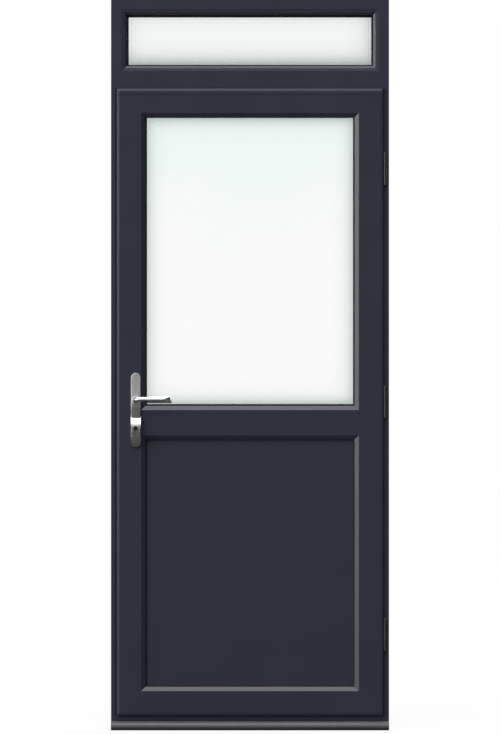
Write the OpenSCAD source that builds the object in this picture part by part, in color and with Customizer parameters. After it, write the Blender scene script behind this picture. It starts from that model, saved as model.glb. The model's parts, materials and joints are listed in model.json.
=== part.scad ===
// Half-glazed entrance door with a fixed top light, an open-out leaf and a key-wound multipoint lock.
// X runs along the wall, Y goes from outside to inside, Z is up. The origin is the middle of the
// threshold's underside, on the plane of the frame's outside face. Millimetres.

/* [Frame] */
// Overall width of the frame
frame_w = 900; // [760:5:1100]
// Overall height of the frame, without the threshold
frame_h = 2338; // [2200:1:2600]
// Depth of the frame profiles, outside to inside
frame_d = 70; // [66:1:84]
// Face width of the frame, outer edge to rebate
frame_face = 34; // [32:1:44]
// Height of the inside upstand that the leaf and the top light close against
rebate_h = 22; // [21:0.5:26]
// Thickness of the inside upstand
upstand_t = 11; // [9:0.5:13]
// Height of the top light, rebate to rebate
toplight_h = 200; // [150:1:320]
// Face width of the transom, rebate to rebate
transom_face = 72; // [56:1:90]
// Chamfer on the arrises of the frame
arris_w = 2; // [1:0.5:4]
// Outer wall of the hollow profiles
wall = 2.8; // [2.2:0.1:3.2]
// Inner webs of the hollow profiles
web = 2; // [1.4:0.1:2.6]

/* [Leaf] */
// How far the leaf's face stands in front of the frame's face
leaf_proud = 14; // [12:0.5:18]
// Overlap of the leaf on the frame's face
leaf_lap = 15; // [12:0.5:16]
// Gap between the leaf's back edge and the frame's rebate, for the hardware
hardware_gap = 12; // [11:0.5:15]
// Seal gap between leaf and frame
seal_gap = 3; // [2.8:0.1:4]
// Width of the seals
seal_w = 6; // [4:0.5:7]
// Width of the leaf profile, outer edge to glazing rebate
leaf_face = 79; // [78:1:92]
// Height of the outside glazing leg above the glazing rebate
leg_h = 13.5; // [13:0.5:18]
// Thickness of the glazing leg at its root
leg_t = 12; // [10:0.5:14]
// Thickness of the glazing leg at its nose
leg_nose = 4; // [3:0.5:6]
// Width of the bevel round the leaf's edge
bevel_w = 8; // [4:0.5:10]
// Depth of the bevel round the leaf's edge
bevel_d = 2; // [1.5:0.5:6]
// Width of the mid rail, rebate to rebate
midrail_face = 82; // [70:1:110]
// Height of the mid rail's middle above the leaf's lower edge
midrail_up = 947; // [850:1:1000]
// Height of the shadow groove below the leaf's top edge
groove_down = 19.5; // [14:0.5:30]
// Width of the shadow groove
shadow_w = 3.25; // [1.5:0.25:4]
// Depth of the shadow groove
shadow_d = 1.6; // [0.8:0.1:1.8]

/* [Glazing] */
// Thickness of the sealed units and of the lower panel
unit_t = 28; // [24:0.5:30]
// Thickness of one glass pane
pane_t = 4; // [4:0.5:6]
// Thickness of the glazing gaskets
gasket_t = 3; // [2.5:0.25:4]
// Gasket that shows past the glazing leg or bead
gasket_lip = 4.5; // [2:0.25:5]
// Edge clearance round the sealed units
edge_gap = 5; // [4:0.5:6]
// Cover of the gaskets' roots over the edge of the units
gasket_root = 3; // [2:0.5:4]
// Set-back of the spacer bar from the edge of the panes
spacer_set = 3; // [2:0.25:4]
// Height of the spacer bar between the panes
spacer_h = 7; // [6:0.25:8]
// Length of one glazing packer
packer_l = 100; // [80:5:150]
// Distance of the packers from the corners
packer_set = 80; // [60:5:120]
// Height of the inside beads at the glass
bead_h = 13.5; // [13:0.5:18]
// Thickness of the inside beads' upper edge
bead_edge = 3; // [2:0.25:5]
// Height of the inside beads at the room face
bead_toe = 5; // [3:0.5:8]
// Set-back of the top light's outside beads from the frame's face
top_bead_set = 1; // [0.5:0.25:2]
// Height of the top light's outside beads at the glass
top_bead_h = 17; // [17:0.5:21]
// Margin of the top light's outside beads
top_bead_margin = 9.5; // [5:0.5:10]
// Lean of that margin towards the glass
top_bead_lean = 1.5; // [0.5:0.25:2]
// Step in the top light's outside beads, from margin to slope
top_bead_step = 2; // [1.5:0.5:5]
// Depth that the top light's outside beads slope back
top_bead_fall = 4.5; // [4:0.5:12]

/* [Threshold] */
// Height of the threshold
sill_h = 30; // [27:1:45]
// How far the threshold's nose stands in front of the frame's face
sill_nose = 16; // [14:1:30]
// Radius of the threshold's nose
nose_r = 13; // [8:0.5:13]
// Wall of the threshold section
sill_wall = 3; // [2:0.25:4]

/* [Reinforcement] */
// Width of the steel chambers, outside to inside
steel_chamber = 30; // [26:1:34]
// Wall of the steel tubes
steel_t = 1.5; // [1.2:0.1:2]
// Clearance of the steel tubes in their chambers
steel_fit = 0.3; // [0.2:0.05:0.6]
// Cut-back of the steel tubes at the corners
steel_cut = 8; // [4:1:30]

/* [Hinges] */
// Length of one hinge
hinge_l = 100; // [80:2:140]
// Height of the outer hinges from the leaf's ends
hinge_inset = 260; // [180:5:300]
// Radius of the hinge knuckle
knuckle_r = 5.5; // [5:0.1:6]
// Radius of the hinge pin
pin_r = 3; // [2.5:0.1:3.5]
// Running clearance of the hinge pin in the leaf's knuckle
pin_fit = 0.06; // [0.03:0.01:0.1]
// Seat of the hinge pin in the frame's knuckles
pin_seat = 0.02; // [0.01:0.01:0.04]
// Clearance between the hinge knuckle and the leaf's edge
knuckle_gap = 0.8; // [0.5:0.1:1.2]
// Gap between neighbouring hinge knuckles
knuckle_split = 0.5; // [0.4:0.1:1]
// Thickness of the hinge straps
strap_t = 2.4; // [2:0.1:2.5]
// Depth of the hinge straps in the rebate
strap_d = 34; // [26:1:44]
// Height of the heads on the hinge pins
pin_head_h = 2; // [1.5:0.25:4]

/* [Handle] */
// Height of the lever spindle above the leaf's lower edge
spindle_up = 1020; // [960:1:1080]
// Distance of the spindle from the lock's faceplate
backset = 35; // [34:0.25:36]
// Distance from spindle to cylinder
centres = 92; // [90:0.5:96]
// Width of the handle plates
plate_w = 32; // [30:0.5:34]
// Height of the handle plates above the spindle
plate_up = 88; // [84:1:96]
// Height of the handle plates below the cylinder's middle
plate_down = 60; // [52:1:72]
// Thickness of the handle plates
plate_t = 8; // [7:0.5:10]
// Bevel round the handle plates
plate_bevel = 2.5; // [1:0.25:4]
// Rise of the cylinder guard on the outside plate
guard_h = 12; // [8:0.5:14]
// Length of the cylinder guard
guard_l = 92; // [80:1:96]
// Recess of the cylinder in its guard
guard_recess = 3; // [2:0.25:4]
// Distance of the plates' screw pillars from the plates' ends
pillar_inset = 12.5; // [10:0.25:14]
// Radius of the screw pillars
pillar_r = 4; // [3.5:0.1:4.2]
// Length of the screw pillars in the leaf
pillar_l = 24; // [16:1:30]
// Reach of the levers from the spindle
lever_l = 115; // [100:1:135]
// Height of the levers' grip
lever_h = 22; // [18:0.5:24]
// Thickness of the levers' grip
lever_t = 12; // [10:0.5:16]
// Radius of the bend at the levers' free end
lever_bend = 9; // [8.5:0.25:12]
// Swing of the levers
lever_swing = 40; // [30:1:45]
// Clear space between the leaf's face and the levers' grip
lever_space = 42; // [36:1:55]
// Radius of the levers' neck
neck_r = 9; // [8.5:0.1:10]
// Running clearance of the levers' neck in the plates
neck_fit = 0.08; // [0.05:0.01:0.1]
// Side of the square spindle
spindle_a = 8; // [7:0.5:8]
// Fit of the square spindle in its sockets
spindle_fit = 0.1; // [0.05:0.05:0.2]
// Depth of the spindle in each lever
spindle_in = 28; // [20:1:34]

/* [Lock] */
// Width of the lock's faceplate
faceplate_w = 16; // [16:0.5:20]
// Thickness of the lock's faceplate
faceplate_t = 3; // [2:0.25:3]
// Distance of the faceplate's ends from the leaf's ends
faceplate_inset = 140; // [100:5:200]
// Width of the sliding rail behind the faceplate
rail_w = 14; // [13:0.25:15]
// Thickness of the sliding rail
rail_t = 2.5; // [2:0.25:3]
// Travel of the sliding rail
rail_travel = 20; // [16:1:22]
// Thickness of latch, deadbolt and hooks
bolt_t = 8; // [7:0.25:9]
// Clearance of the lock's moving parts
lock_fit = 0.4; // [0.3:0.05:0.5]
// Thickness of the lock cases over all
case_t = 15; // [14:0.5:16]
// Sheet of the lock cases
case_wall = 1.5; // [1.2:0.1:1.8]
// Height of the lock case above the spindle
case_up = 48; // [46:0.5:50]
// Height of the lock case below the cylinder's middle
case_down = 32; // [29:0.5:36]
// Height of the latch's middle above the spindle
latch_up = 27; // [26:0.5:30]
// Height of the latch bolt
latch_h = 16; // [14:0.5:17]
// Room between the latch's tip and the frame's rebate
latch_clear = 2; // [1:0.25:3]
// Height of the deadbolt's middle below the spindle
deadbolt_down = 49; // [44:0.5:52]
// Height of the deadbolt
deadbolt_h = 26; // [20:0.5:28]
// Length of the latch and the deadbolt behind the leaf's back edge
bolt_l = 32; // [28:0.5:34]
// Radius of the follower round the spindle
follower_r = 10; // [9:0.25:11]
// Radius of the follower's journals
journal_r = 7.5; // [7:0.1:8]
// Running clearance of the follower's journals
journal_fit = 0.08; // [0.03:0.01:0.1]
// Width of the follower's finger
finger_w = 6; // [4:0.25:8]
// Distance of the hooks' pivots from the leaf's ends
hook_inset = 380; // [300:5:440]
// Depth of the hooks' pivots behind the leaf's back edge
hook_depth = 20; // [19:0.25:22]
// Width of the hooks' arms
hook_w = 14; // [12:0.5:15]
// Height of the hooks' beaks
hook_beak = 8; // [6:0.25:8.5]
// Width of the hooks' beaks
beak_w = 6; // [4:0.25:7]
// Room between the hooks' beaks and the back of their keeps
beak_gap = 1; // [0.5:0.1:2]
// Radius of the hooks' pivots
hook_pin_r = 3; // [2.5:0.1:3.5]
// Running clearance of the hooks on their pivots
hook_pin_fit = 0.06; // [0.03:0.01:0.1]
// Gap between the keeps and the leaf's back edge
keep_gap = 4; // [3.5:0.25:5]
// Width of the keeps
keep_w = 26; // [22:0.5:30]
// Margin of the keeps above and below their slots
keep_margin = 16; // [12:0.5:24]

/* [Cylinder] */
// Radius of the cylinder's round part
euro_r = 8.5; // [8.2:0.1:9]
// Width of the cylinder's leg
euro_w = 10; // [9:0.25:11]
// Height of the cylinder over all
euro_h = 33; // [31:0.5:34]
// How far the cylinder stands out of the inside plate
cylinder_out = 2; // [1:0.25:3]
// Radius of the key plug
plug_r = 6.5; // [6:0.1:6.8]
// Running clearance of the key plug
plug_fit = 0.06; // [0.03:0.01:0.1]
// Radius of the cam's lobe
cam_r = 13; // [11:0.25:13.5]
// Width of the cam along the cylinder
cam_w = 9; // [7:0.25:10]
// Thickness of the cam's lobe
cam_lobe = 7; // [5:0.25:8]
// Width of the keyway
key_w = 2.2; // [1.6:0.1:3]
// Height of the keyway
key_h = 8.5; // [7:0.25:9.5]
// Depth of the keyway
key_d = 24; // [18:1:28]

/* [Fixings] */
// Radius of the frame fixing holes
fixing_r = 4; // [3:0.25:5]
// Spacing of the fixing holes
fixing_pitch = 600; // [550:5:620]
// Height of the lowest fixing hole above the frame's foot
fixing_up = 150; // [120:5:180]

/* [Hidden] */
$fn = 64;

// Colours
anthracite = "#33343f";
rubber = "#17181b";
steel = "#9a9da2";
satin = "#b9bcc0";
bright = "#d7dade";
alloy = "#8b8e93";
clear = [0.86, 0.94, 0.92, 0.45];
dark_metal = "#2b2c33";
packer_blue = "#4a6a8c";

// Small fits and allowances
face_fit = 0.2;
slide_fit = 0.3;
pocket_fit = 0.5;
seal_slack = 0.3;
over = 1;

// Heights
frame_z0 = sill_h;
frame_z1 = sill_h + frame_h;
toplight_z1 = frame_z1 - frame_face;
toplight_z0 = toplight_z1 - toplight_h;
door_z1 = toplight_z0 - transom_face;
door_z0 = frame_z0 + frame_face;
leaf_z0 = door_z0 - leaf_lap;
leaf_z1 = door_z1 + leaf_lap;
midrail_z = leaf_z0 + midrail_up;
glass_z0 = midrail_z + midrail_face / 2;
glass_z1 = leaf_z1 - leaf_face;
panel_z0 = leaf_z0 + leaf_face;
panel_z1 = midrail_z - midrail_face / 2;
spindle_z = leaf_z0 + spindle_up;
cylinder_z = spindle_z - centres;
plate_z1 = spindle_z + plate_up;
plate_z0 = cylinder_z - plate_down;
pillar_zs = [plate_z0 + pillar_inset, plate_z1 - pillar_inset];
guard_z = plate_z0 + plate_bevel + guard_l / 2;
latch_z = spindle_z + latch_up;
deadbolt_z = spindle_z - deadbolt_down;
case_z0 = cylinder_z - case_down;
case_z1 = spindle_z + case_up;
hook_zs = [leaf_z0 + hook_inset, leaf_z1 - hook_inset];
hinge_zs = [leaf_z0 + hinge_inset, (leaf_z0 + leaf_z1) / 2, leaf_z1 - hinge_inset];
fixing_zs = [for (i = [0:3]) frame_z0 + fixing_up + i * fixing_pitch];

// Half widths
frame_x = frame_w / 2;
rebate_x = frame_x - frame_face;
leaf_x = rebate_x + leaf_lap;
leaf_back = leaf_lap + hardware_gap;
leaf_back_x = leaf_x - leaf_back;
glass_x = leaf_x - leaf_face;
spindle_x = backset - leaf_back_x;

// Depths
leaf_y0 = -leaf_proud;
upstand_y = frame_d - upstand_t;
leaf_y1 = upstand_y - seal_gap;
leg_y = leaf_y0 + leg_t;
glass_y0 = leg_y + gasket_t;
glass_y1 = glass_y0 + unit_t;
bead_y = glass_y1 + gasket_t;
top_glass_y1 = upstand_y - gasket_t;
top_glass_y0 = top_glass_y1 - unit_t;
top_bead_y = top_glass_y0 - gasket_t;
lock_y = (leaf_y0 + leaf_y1) / 2;
frame_mid_y = frame_d / 2;
outer_plate_y = leaf_y0 - plate_t;
guard_y = outer_plate_y - guard_h;
cylinder_y0 = guard_y + guard_recess;
cylinder_y1 = leaf_y1 + plate_t + cylinder_out;

// Lock levels, measured inwards from the leaf's back edge
faceplate_groove = faceplate_t + face_fit;
rail_in = faceplate_t + slide_fit;
rail_groove = rail_in + rail_t + lock_fit;
case_in = rail_in + rail_t + lock_fit;
chamber_in = rail_groove + web;
pocket_in = leaf_face - leaf_back - wall;
case_back = pocket_in - face_fit;
case_inside = case_t - 2 * case_wall;
slot_w = bolt_t + 2 * lock_fit;
latch_out = hardware_gap - latch_clear;
keep_t = hardware_gap - keep_gap;

// Hooks
hook_l = hook_depth + hardware_gap + beak_gap + beak_w;
hook_turn_r = norm([hook_l, hook_w / 2 + hook_beak]) + lock_fit;
hook_case_up = hook_w / 2 + lock_fit + case_wall;
hook_case_down = hook_turn_r + lock_fit + case_wall;
hook_case_back = hook_depth + hook_w / 2 + lock_fit + case_wall;
hook_x = hook_depth - leaf_back_x;
bolt_pocket = max(hook_turn_r - hook_depth, rail_travel) - hardware_gap + over;

// Hinge axis
axis_x = leaf_x + knuckle_gap + knuckle_r;
axis_y = -knuckle_r - knuckle_split;
knuckle_l = (hinge_l - 2 * knuckle_split) / 3;

// Longer than any cut has to be
through = 400;

// A section in (depth, inward) carried along X and cut at 45 degrees at both ends
module mitred(len, inner) {
    intersection() {
        rotate([90, 0, 90]) linear_extrude(len + 2 * over, center = true) children();
        rotate([90, 0, 0]) linear_extrude(through, center = true)
            polygon([[-len / 2, 0], [len / 2, 0], [len / 2 - inner, inner], [inner - len / 2, inner]]);
    }
}

// A section in (depth, inward) carried along X and cut square
module straight(len) {
    rotate([90, 0, 90]) linear_extrude(len, center = true) children();
}

// Sets a bar that was made along X on one side of the rectangle of half width x, from z0 to z1
module on_side(side, x, z0, z1) {
    if (side == "bottom") translate([0, 0, z0]) children();
    if (side == "top") translate([0, 0, z1]) mirror([0, 0, 1]) children();
    if (side == "left") translate([-x, 0, (z0 + z1) / 2]) mirror([1, 0, -1]) children();
    if (side == "right") translate([x, 0, (z0 + z1) / 2]) mirror([1, 0, 0]) mirror([1, 0, -1]) children();
}

function side_len(side, x, z0, z1) = side == "left" || side == "right" ? z1 - z0 : 2 * x;

module mitred_side(side, x, z0, z1, inner) {
    on_side(side, x, z0, z1) mitred(side_len(side, x, z0, z1), inner) children();
}

// A flat band round the inside of a rectangle, from v0 to v1 inwards of its edge
module band(x, z0, z1, v0, v1, y0, y1) {
    translate([0, y1, 0]) rotate([90, 0, 0]) linear_extrude(y1 - y0) difference() {
        translate([v0 - x, z0 + v0]) square([2 * (x - v0), z1 - z0 - 2 * v0]);
        translate([v1 - x, z0 + v1]) square([2 * (x - v1), z1 - z0 - 2 * v1]);
    }
}

// A flat sheet that fills a rectangle, inset all round
module sheet(x, z0, z1, inset, y0, y1) {
    translate([inset - x, y0, z0 + inset]) cube([2 * (x - inset), y1 - y0, z1 - z0 - 2 * inset]);
}

// A rectangle in a section, from (y0, v0) to (y1, v1)
module cell(y0, v0, y1, v1) {
    translate([y0, v0]) square([y1 - y0, v1 - v0]);
}

// The section of a steel tube that fills a chamber, from (y0, v0) to (y1, v1)
module tube_cell(y0, v0, y1, v1) {
    difference() {
        cell(y0 + steel_fit, v0 + steel_fit, y1 - steel_fit, v1 - steel_fit);
        cell(y0 + steel_fit + steel_t, v0 + steel_fit + steel_t, y1 - steel_fit - steel_t, v1 - steel_fit - steel_t);
    }
}

// A box between two corners
module block(a, b) {
    translate(a) cube(b - a);
}

// A box in the lock stile, from u0 to u1 inwards of the leaf's back edge, centred on the lock's plane
module lock_block(u0, u1, t, z0, z1) {
    block([u0 - leaf_back_x, lock_y - t / 2, z0], [u1 - leaf_back_x, lock_y + t / 2, z1]);
}

// A round bar along Y
module y_rod(x, z, r, y0, y1) {
    translate([x, y1, z]) rotate([90, 0, 0]) cylinder(r = r, h = y1 - y0);
}

// Copies an outside fitting to the room side of the leaf
module to_inside() {
    translate([0, 2 * lock_y, 0]) mirror([0, 1, 0]) children();
}

// Frame profiles

module frame_section() {
    difference() {
        polygon([
            [arris_w, 0], [frame_d - arris_w, 0], [frame_d, arris_w], [frame_d, frame_face],
            [0, frame_face], [0, arris_w],
        ]);
        cell(wall, wall, frame_mid_y - steel_chamber / 2 - web, frame_face - wall);
        cell(frame_mid_y - steel_chamber / 2, wall, frame_mid_y + steel_chamber / 2, frame_face - wall);
        cell(frame_mid_y + steel_chamber / 2 + web, wall, frame_d - wall, frame_face - wall);
    }
}

module transom_section() {
    difference() {
        cell(0, 0, frame_d, transom_face);
        cell(wall, wall, frame_mid_y - steel_chamber / 2 - web, transom_face - wall);
        cell(frame_mid_y - steel_chamber / 2, wall, frame_mid_y + steel_chamber / 2, transom_face - wall);
        cell(frame_mid_y + steel_chamber / 2 + web, wall, frame_d - wall, transom_face - wall);
    }
}

module upstand_section() {
    difference() {
        polygon([
            [upstand_y, 0], [upstand_y, rebate_h], [frame_d - arris_w, rebate_h],
            [frame_d, rebate_h - arris_w], [frame_d, 0],
        ]);
        cell(upstand_y + wall, wall, frame_d - wall, rebate_h - wall);
    }
}

module frame_bar(side) {
    mitred_side(side, frame_x, frame_z0, frame_z1, frame_face) frame_section();
}

module door_upstand(side) {
    mitred_side(side, rebate_x, door_z0, door_z1, rebate_h) upstand_section();
}

module toplight_upstand(side) {
    mitred_side(side, rebate_x, toplight_z0, toplight_z1, rebate_h) upstand_section();
}

module fixing_holes() {
    for (side = [-1, 1], z = fixing_zs)
        translate([side * (frame_x - frame_face / 2), frame_mid_y, z]) rotate([0, 90, 0])
            cylinder(r = fixing_r, h = frame_face + 2 * over, center = true);
}

function hook_drop(reach) = sqrt(pow(hook_turn_r, 2) - pow(reach, 2));

// Pockets that are routed into the lock jamb behind the keeps
module jamb_pockets() {
    half = slot_w / 2;
    x0 = -rebate_x - bolt_pocket;
    x1 = -rebate_x + over;
    low = hook_drop(hook_depth + hardware_gap);
    block([x0, lock_y - half, deadbolt_z - deadbolt_h / 2 - over], [x1, lock_y + half, deadbolt_z + deadbolt_h / 2 + over]);
    for (z = hook_zs)
        block([x0, lock_y - half, z - low - over], [x1, lock_y + half, z + hook_w / 2 + hook_beak + over]);
}

module frame_head() {
    color(anthracite) union() {
        frame_bar("top");
        toplight_upstand("top");
    }
}

module frame_foot() {
    color(anthracite) union() {
        frame_bar("bottom");
        door_upstand("bottom");
    }
}

module jamb(side) {
    difference() {
        union() {
            frame_bar(side);
            door_upstand(side);
            toplight_upstand(side);
        }
        fixing_holes();
    }
}

module frame_lock_jamb() {
    color(anthracite) difference() {
        jamb("left");
        jamb_pockets();
    }
}

module frame_hinge_jamb() {
    color(anthracite) jamb("right");
}

module frame_transom() {
    color(anthracite) union() {
        translate([0, 0, door_z1]) straight(2 * rebate_x) transom_section();
        door_upstand("top");
        toplight_upstand("bottom");
    }
}

module frame_reinforcement() {
    y0 = frame_mid_y - steel_chamber / 2;
    y1 = frame_mid_y + steel_chamber / 2;
    color(steel) difference() {
        union() {
            for (side = ["top", "bottom", "left", "right"])
                on_side(side, frame_x, frame_z0, frame_z1)
                    straight(side_len(side, frame_x, frame_z0, frame_z1) - 2 * (frame_face + steel_cut))
                        tube_cell(y0, wall, y1, frame_face - wall);
            translate([0, 0, door_z1]) straight(2 * (rebate_x - steel_cut)) tube_cell(y0, wall, y1, transom_face - wall);
        }
        fixing_holes();
        jamb_pockets();
    }
}

module frame_seal() {
    edge = rebate_h - arris_w;
    color(rubber) band(rebate_x, door_z0, door_z1, edge - seal_w, edge, leaf_y1 + seal_slack, upstand_y);
}

module threshold() {
    nose_y = nose_r - sill_nose;
    nose_z = sill_h / 2;
    rib_y = (nose_y + nose_r + frame_d) / 2;
    color(alloy) straight(frame_w) difference() {
        union() {
            polygon([
                [nose_y, nose_z - nose_r], [nose_y + nose_r / 8, 0], [frame_d, 0], [frame_d, sill_h],
                [0, sill_h], [nose_y, nose_z + nose_r],
            ]);
            translate([nose_y, nose_z]) circle(nose_r);
        }
        translate([nose_y, nose_z]) circle(nose_r - sill_wall);
        cell(nose_y + nose_r, sill_wall, rib_y - sill_wall / 2, sill_h - sill_wall);
        cell(rib_y + sill_wall / 2, sill_wall, frame_d - sill_wall, sill_h - sill_wall);
    }
}

// Sealed units, gaskets, packers and beads

module sealed_pane(x, z0, z1, y) {
    color(clear) sheet(x, z0, z1, edge_gap, y, y + pane_t);
}

module spacer_bar(x, z0, z1, y) {
    set = edge_gap + spacer_set;
    color(steel) band(x, z0, z1, set, set + spacer_h, y + pane_t, y + unit_t - pane_t);
}

module gasket_pair(x, z0, z1, y, outer_edge, inner_edge) {
    root = edge_gap + gasket_root;
    color(rubber) {
        band(x, z0, z1, root, outer_edge, y - gasket_t, y);
        band(x, z0, z1, root, inner_edge, y + unit_t, y + unit_t + gasket_t);
    }
}

module packer_pair(x, z0, y) {
    for (side = [-1, 1])
        translate([side * (x - packer_set - packer_l / 2), y + unit_t / 2, z0 + edge_gap / 2])
            cube([packer_l, unit_t, edge_gap], center = true);
}

module toplight_outer_pane() {
    sealed_pane(rebate_x, toplight_z0, toplight_z1, top_glass_y0);
}

module toplight_inner_pane() {
    sealed_pane(rebate_x, toplight_z0, toplight_z1, top_glass_y1 - pane_t);
}

module toplight_spacer() {
    spacer_bar(rebate_x, toplight_z0, toplight_z1, top_glass_y0);
}

module toplight_gaskets() {
    gasket_pair(rebate_x, toplight_z0, toplight_z1, top_glass_y0, top_bead_h + gasket_lip, rebate_h);
}

module toplight_packers() {
    color(packer_blue) packer_pair(rebate_x, toplight_z0, top_glass_y0);
}

module top_bead(side) {
    margin_y = top_bead_set;
    step_y = margin_y + top_bead_lean;
    slope_y = step_y + top_bead_step;
    color(anthracite) mitred_side(side, rebate_x, toplight_z0, toplight_z1, top_bead_h) polygon([
        [margin_y, 0], [step_y, top_bead_margin], [slope_y, top_bead_margin + top_bead_step / 2],
        [slope_y + top_bead_fall, top_bead_h], [top_bead_y, top_bead_h], [top_bead_y, 0],
    ]);
}

module toplight_bead_top() {
    top_bead("top");
}

module toplight_bead_bottom() {
    top_bead("bottom");
}

module toplight_bead_left() {
    top_bead("left");
}

module toplight_bead_right() {
    top_bead("right");
}

module glass_outer_pane() {
    sealed_pane(glass_x, glass_z0, glass_z1, glass_y0);
}

module glass_inner_pane() {
    sealed_pane(glass_x, glass_z0, glass_z1, glass_y1 - pane_t);
}

module glass_spacer() {
    spacer_bar(glass_x, glass_z0, glass_z1, glass_y0);
}

module glass_gaskets() {
    gasket_pair(glass_x, glass_z0, glass_z1, glass_y0, leg_h + gasket_lip, bead_h + gasket_lip);
}

module panel_gaskets() {
    gasket_pair(glass_x, panel_z0, panel_z1, glass_y0, leg_h + gasket_lip, bead_h + gasket_lip);
}

module lower_panel() {
    color(anthracite) sheet(glass_x, panel_z0, panel_z1, edge_gap, glass_y0, glass_y1);
}

module leaf_packers() {
    color(packer_blue) {
        packer_pair(glass_x, glass_z0, glass_y0);
        packer_pair(glass_x, panel_z0, glass_y0);
    }
}

module leaf_bead(side, z0, z1) {
    color(anthracite) mitred_side(side, glass_x, z0, z1, bead_h) polygon([
        [bead_y, 0], [bead_y, bead_h], [bead_y + bead_edge, bead_h], [leaf_y1, bead_toe], [leaf_y1, 0],
    ]);
}

module glass_bead_top() {
    leaf_bead("top", glass_z0, glass_z1);
}

module glass_bead_bottom() {
    leaf_bead("bottom", glass_z0, glass_z1);
}

module glass_bead_left() {
    leaf_bead("left", glass_z0, glass_z1);
}

module glass_bead_right() {
    leaf_bead("right", glass_z0, glass_z1);
}

module panel_bead_top() {
    leaf_bead("top", panel_z0, panel_z1);
}

module panel_bead_bottom() {
    leaf_bead("bottom", panel_z0, panel_z1);
}

module panel_bead_left() {
    leaf_bead("left", panel_z0, panel_z1);
}

module panel_bead_right() {
    leaf_bead("right", panel_z0, panel_z1);
}

// Leaf profiles

module leaf_section() {
    main0 = lock_y - steel_chamber / 2;
    main1 = lock_y + steel_chamber / 2;
    difference() {
        polygon([
            [leaf_y0 + bevel_d, 0], [-seal_gap, 0], [-seal_gap, leaf_back], [leaf_y1, leaf_back],
            [leaf_y1, leaf_face], [leaf_y0, leaf_face], [leaf_y0, bevel_w],
        ]);
        cell(leaf_y0 + wall, bevel_w, -seal_gap - wall, leaf_back);
        cell(leaf_y0 + wall, leaf_back + wall, main0 - web, leaf_face - wall);
        cell(main0, leaf_back + chamber_in, main1, leaf_face - wall);
        cell(main1 + web, leaf_back + wall, leaf_y1 - wall, leaf_face - wall);
        translate([lock_y, leaf_back]) {
            cell(-faceplate_w / 2 - face_fit, -over, faceplate_w / 2 + face_fit, faceplate_groove);
            cell(-rail_w / 2 - slide_fit, -over, rail_w / 2 + slide_fit, rail_groove);
        }
    }
}

module midrail_section() {
    main0 = lock_y - steel_chamber / 2;
    main1 = lock_y + steel_chamber / 2;
    difference() {
        cell(leaf_y0, 0, leaf_y1, midrail_face);
        cell(leaf_y0 + wall, wall, main0 - web, midrail_face - wall);
        cell(main0, wall, main1, midrail_face - wall);
        cell(main1 + web, wall, leaf_y1 - wall, midrail_face - wall);
    }
}

module leg_section() {
    polygon([[leaf_y0, 0], [leg_y - leg_nose, leg_h], [leg_y, leg_h], [leg_y, 0]]);
}

module leaf_bar(side) {
    mitred_side(side, leaf_x, leaf_z0, leaf_z1, leaf_face) leaf_section();
}

module glass_leg(side) {
    mitred_side(side, glass_x, glass_z0, glass_z1, leg_h) leg_section();
}

module panel_leg(side) {
    mitred_side(side, glass_x, panel_z0, panel_z1, leg_h) leg_section();
}

module shadow_groove() {
    z = leaf_z1 - groove_down;
    block([-frame_x, leaf_y0 - over, z - shadow_w / 2], [frame_x, leaf_y0 + shadow_d, z + shadow_w / 2]);
}

// The cylinder's outline, grown all round by a clearance
module euro_outline(grow) {
    foot = euro_h - euro_r - euro_w / 2;
    circle(euro_r + grow);
    translate([0, -foot / 2]) square([euro_w + 2 * grow, foot], center = true);
    translate([0, -foot]) circle(euro_w / 2 + grow);
}

module euro_bar(grow, y0, y1) {
    translate([spindle_x, y1, cylinder_z]) rotate([90, 0, 0]) linear_extrude(y1 - y0) euro_outline(grow);
}

// Room for the lock, its spindle, its cylinder and the plates' pillars in the lock stile
module lock_rout() {
    t = case_t + 2 * pocket_fit;
    lock_block(faceplate_groove, pocket_in, t, case_z0 - pocket_fit, case_z1 + pocket_fit);
    for (z = hook_zs)
        lock_block(
            faceplate_groove, hook_case_back + pocket_fit, t,
            z - hook_case_down - pocket_fit, z + hook_case_up + pocket_fit
        );
    y_rod(spindle_x, spindle_z, neck_r + over, leaf_y0 - over, leaf_y1 + over);
    euro_bar(pocket_fit, leaf_y0 - over, leaf_y1 + over);
    for (z = pillar_zs)
        y_rod(spindle_x, z, pillar_r + slide_fit, leaf_y0 - over, leaf_y1 + over);
}

module leaf_top_rail() {
    color(anthracite) difference() {
        union() {
            leaf_bar("top");
            glass_leg("top");
        }
        shadow_groove();
    }
}

module leaf_bottom_rail() {
    color(anthracite) union() {
        leaf_bar("bottom");
        panel_leg("bottom");
    }
}

module stile(side) {
    difference() {
        union() {
            leaf_bar(side);
            glass_leg(side);
            panel_leg(side);
        }
        shadow_groove();
    }
}

module leaf_lock_stile() {
    color(anthracite) difference() {
        stile("left");
        lock_rout();
    }
}

module leaf_hinge_stile() {
    color(anthracite) stile("right");
}

module leaf_mid_rail() {
    color(anthracite) union() {
        translate([0, 0, panel_z1]) straight(2 * glass_x) midrail_section();
        glass_leg("bottom");
        panel_leg("top");
    }
}

module leaf_reinforcement() {
    y0 = lock_y - steel_chamber / 2;
    y1 = lock_y + steel_chamber / 2;
    color(steel) difference() {
        union() {
            for (side = ["top", "bottom", "left", "right"])
                on_side(side, leaf_x, leaf_z0, leaf_z1)
                    straight(side_len(side, leaf_x, leaf_z0, leaf_z1) - 2 * (leaf_face + steel_cut))
                        tube_cell(y0, leaf_back + chamber_in, y1, leaf_face - wall);
            translate([0, 0, panel_z1]) straight(2 * (glass_x - steel_cut)) tube_cell(y0, wall, y1, midrail_face - wall);
        }
        lock_rout();
    }
}

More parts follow.
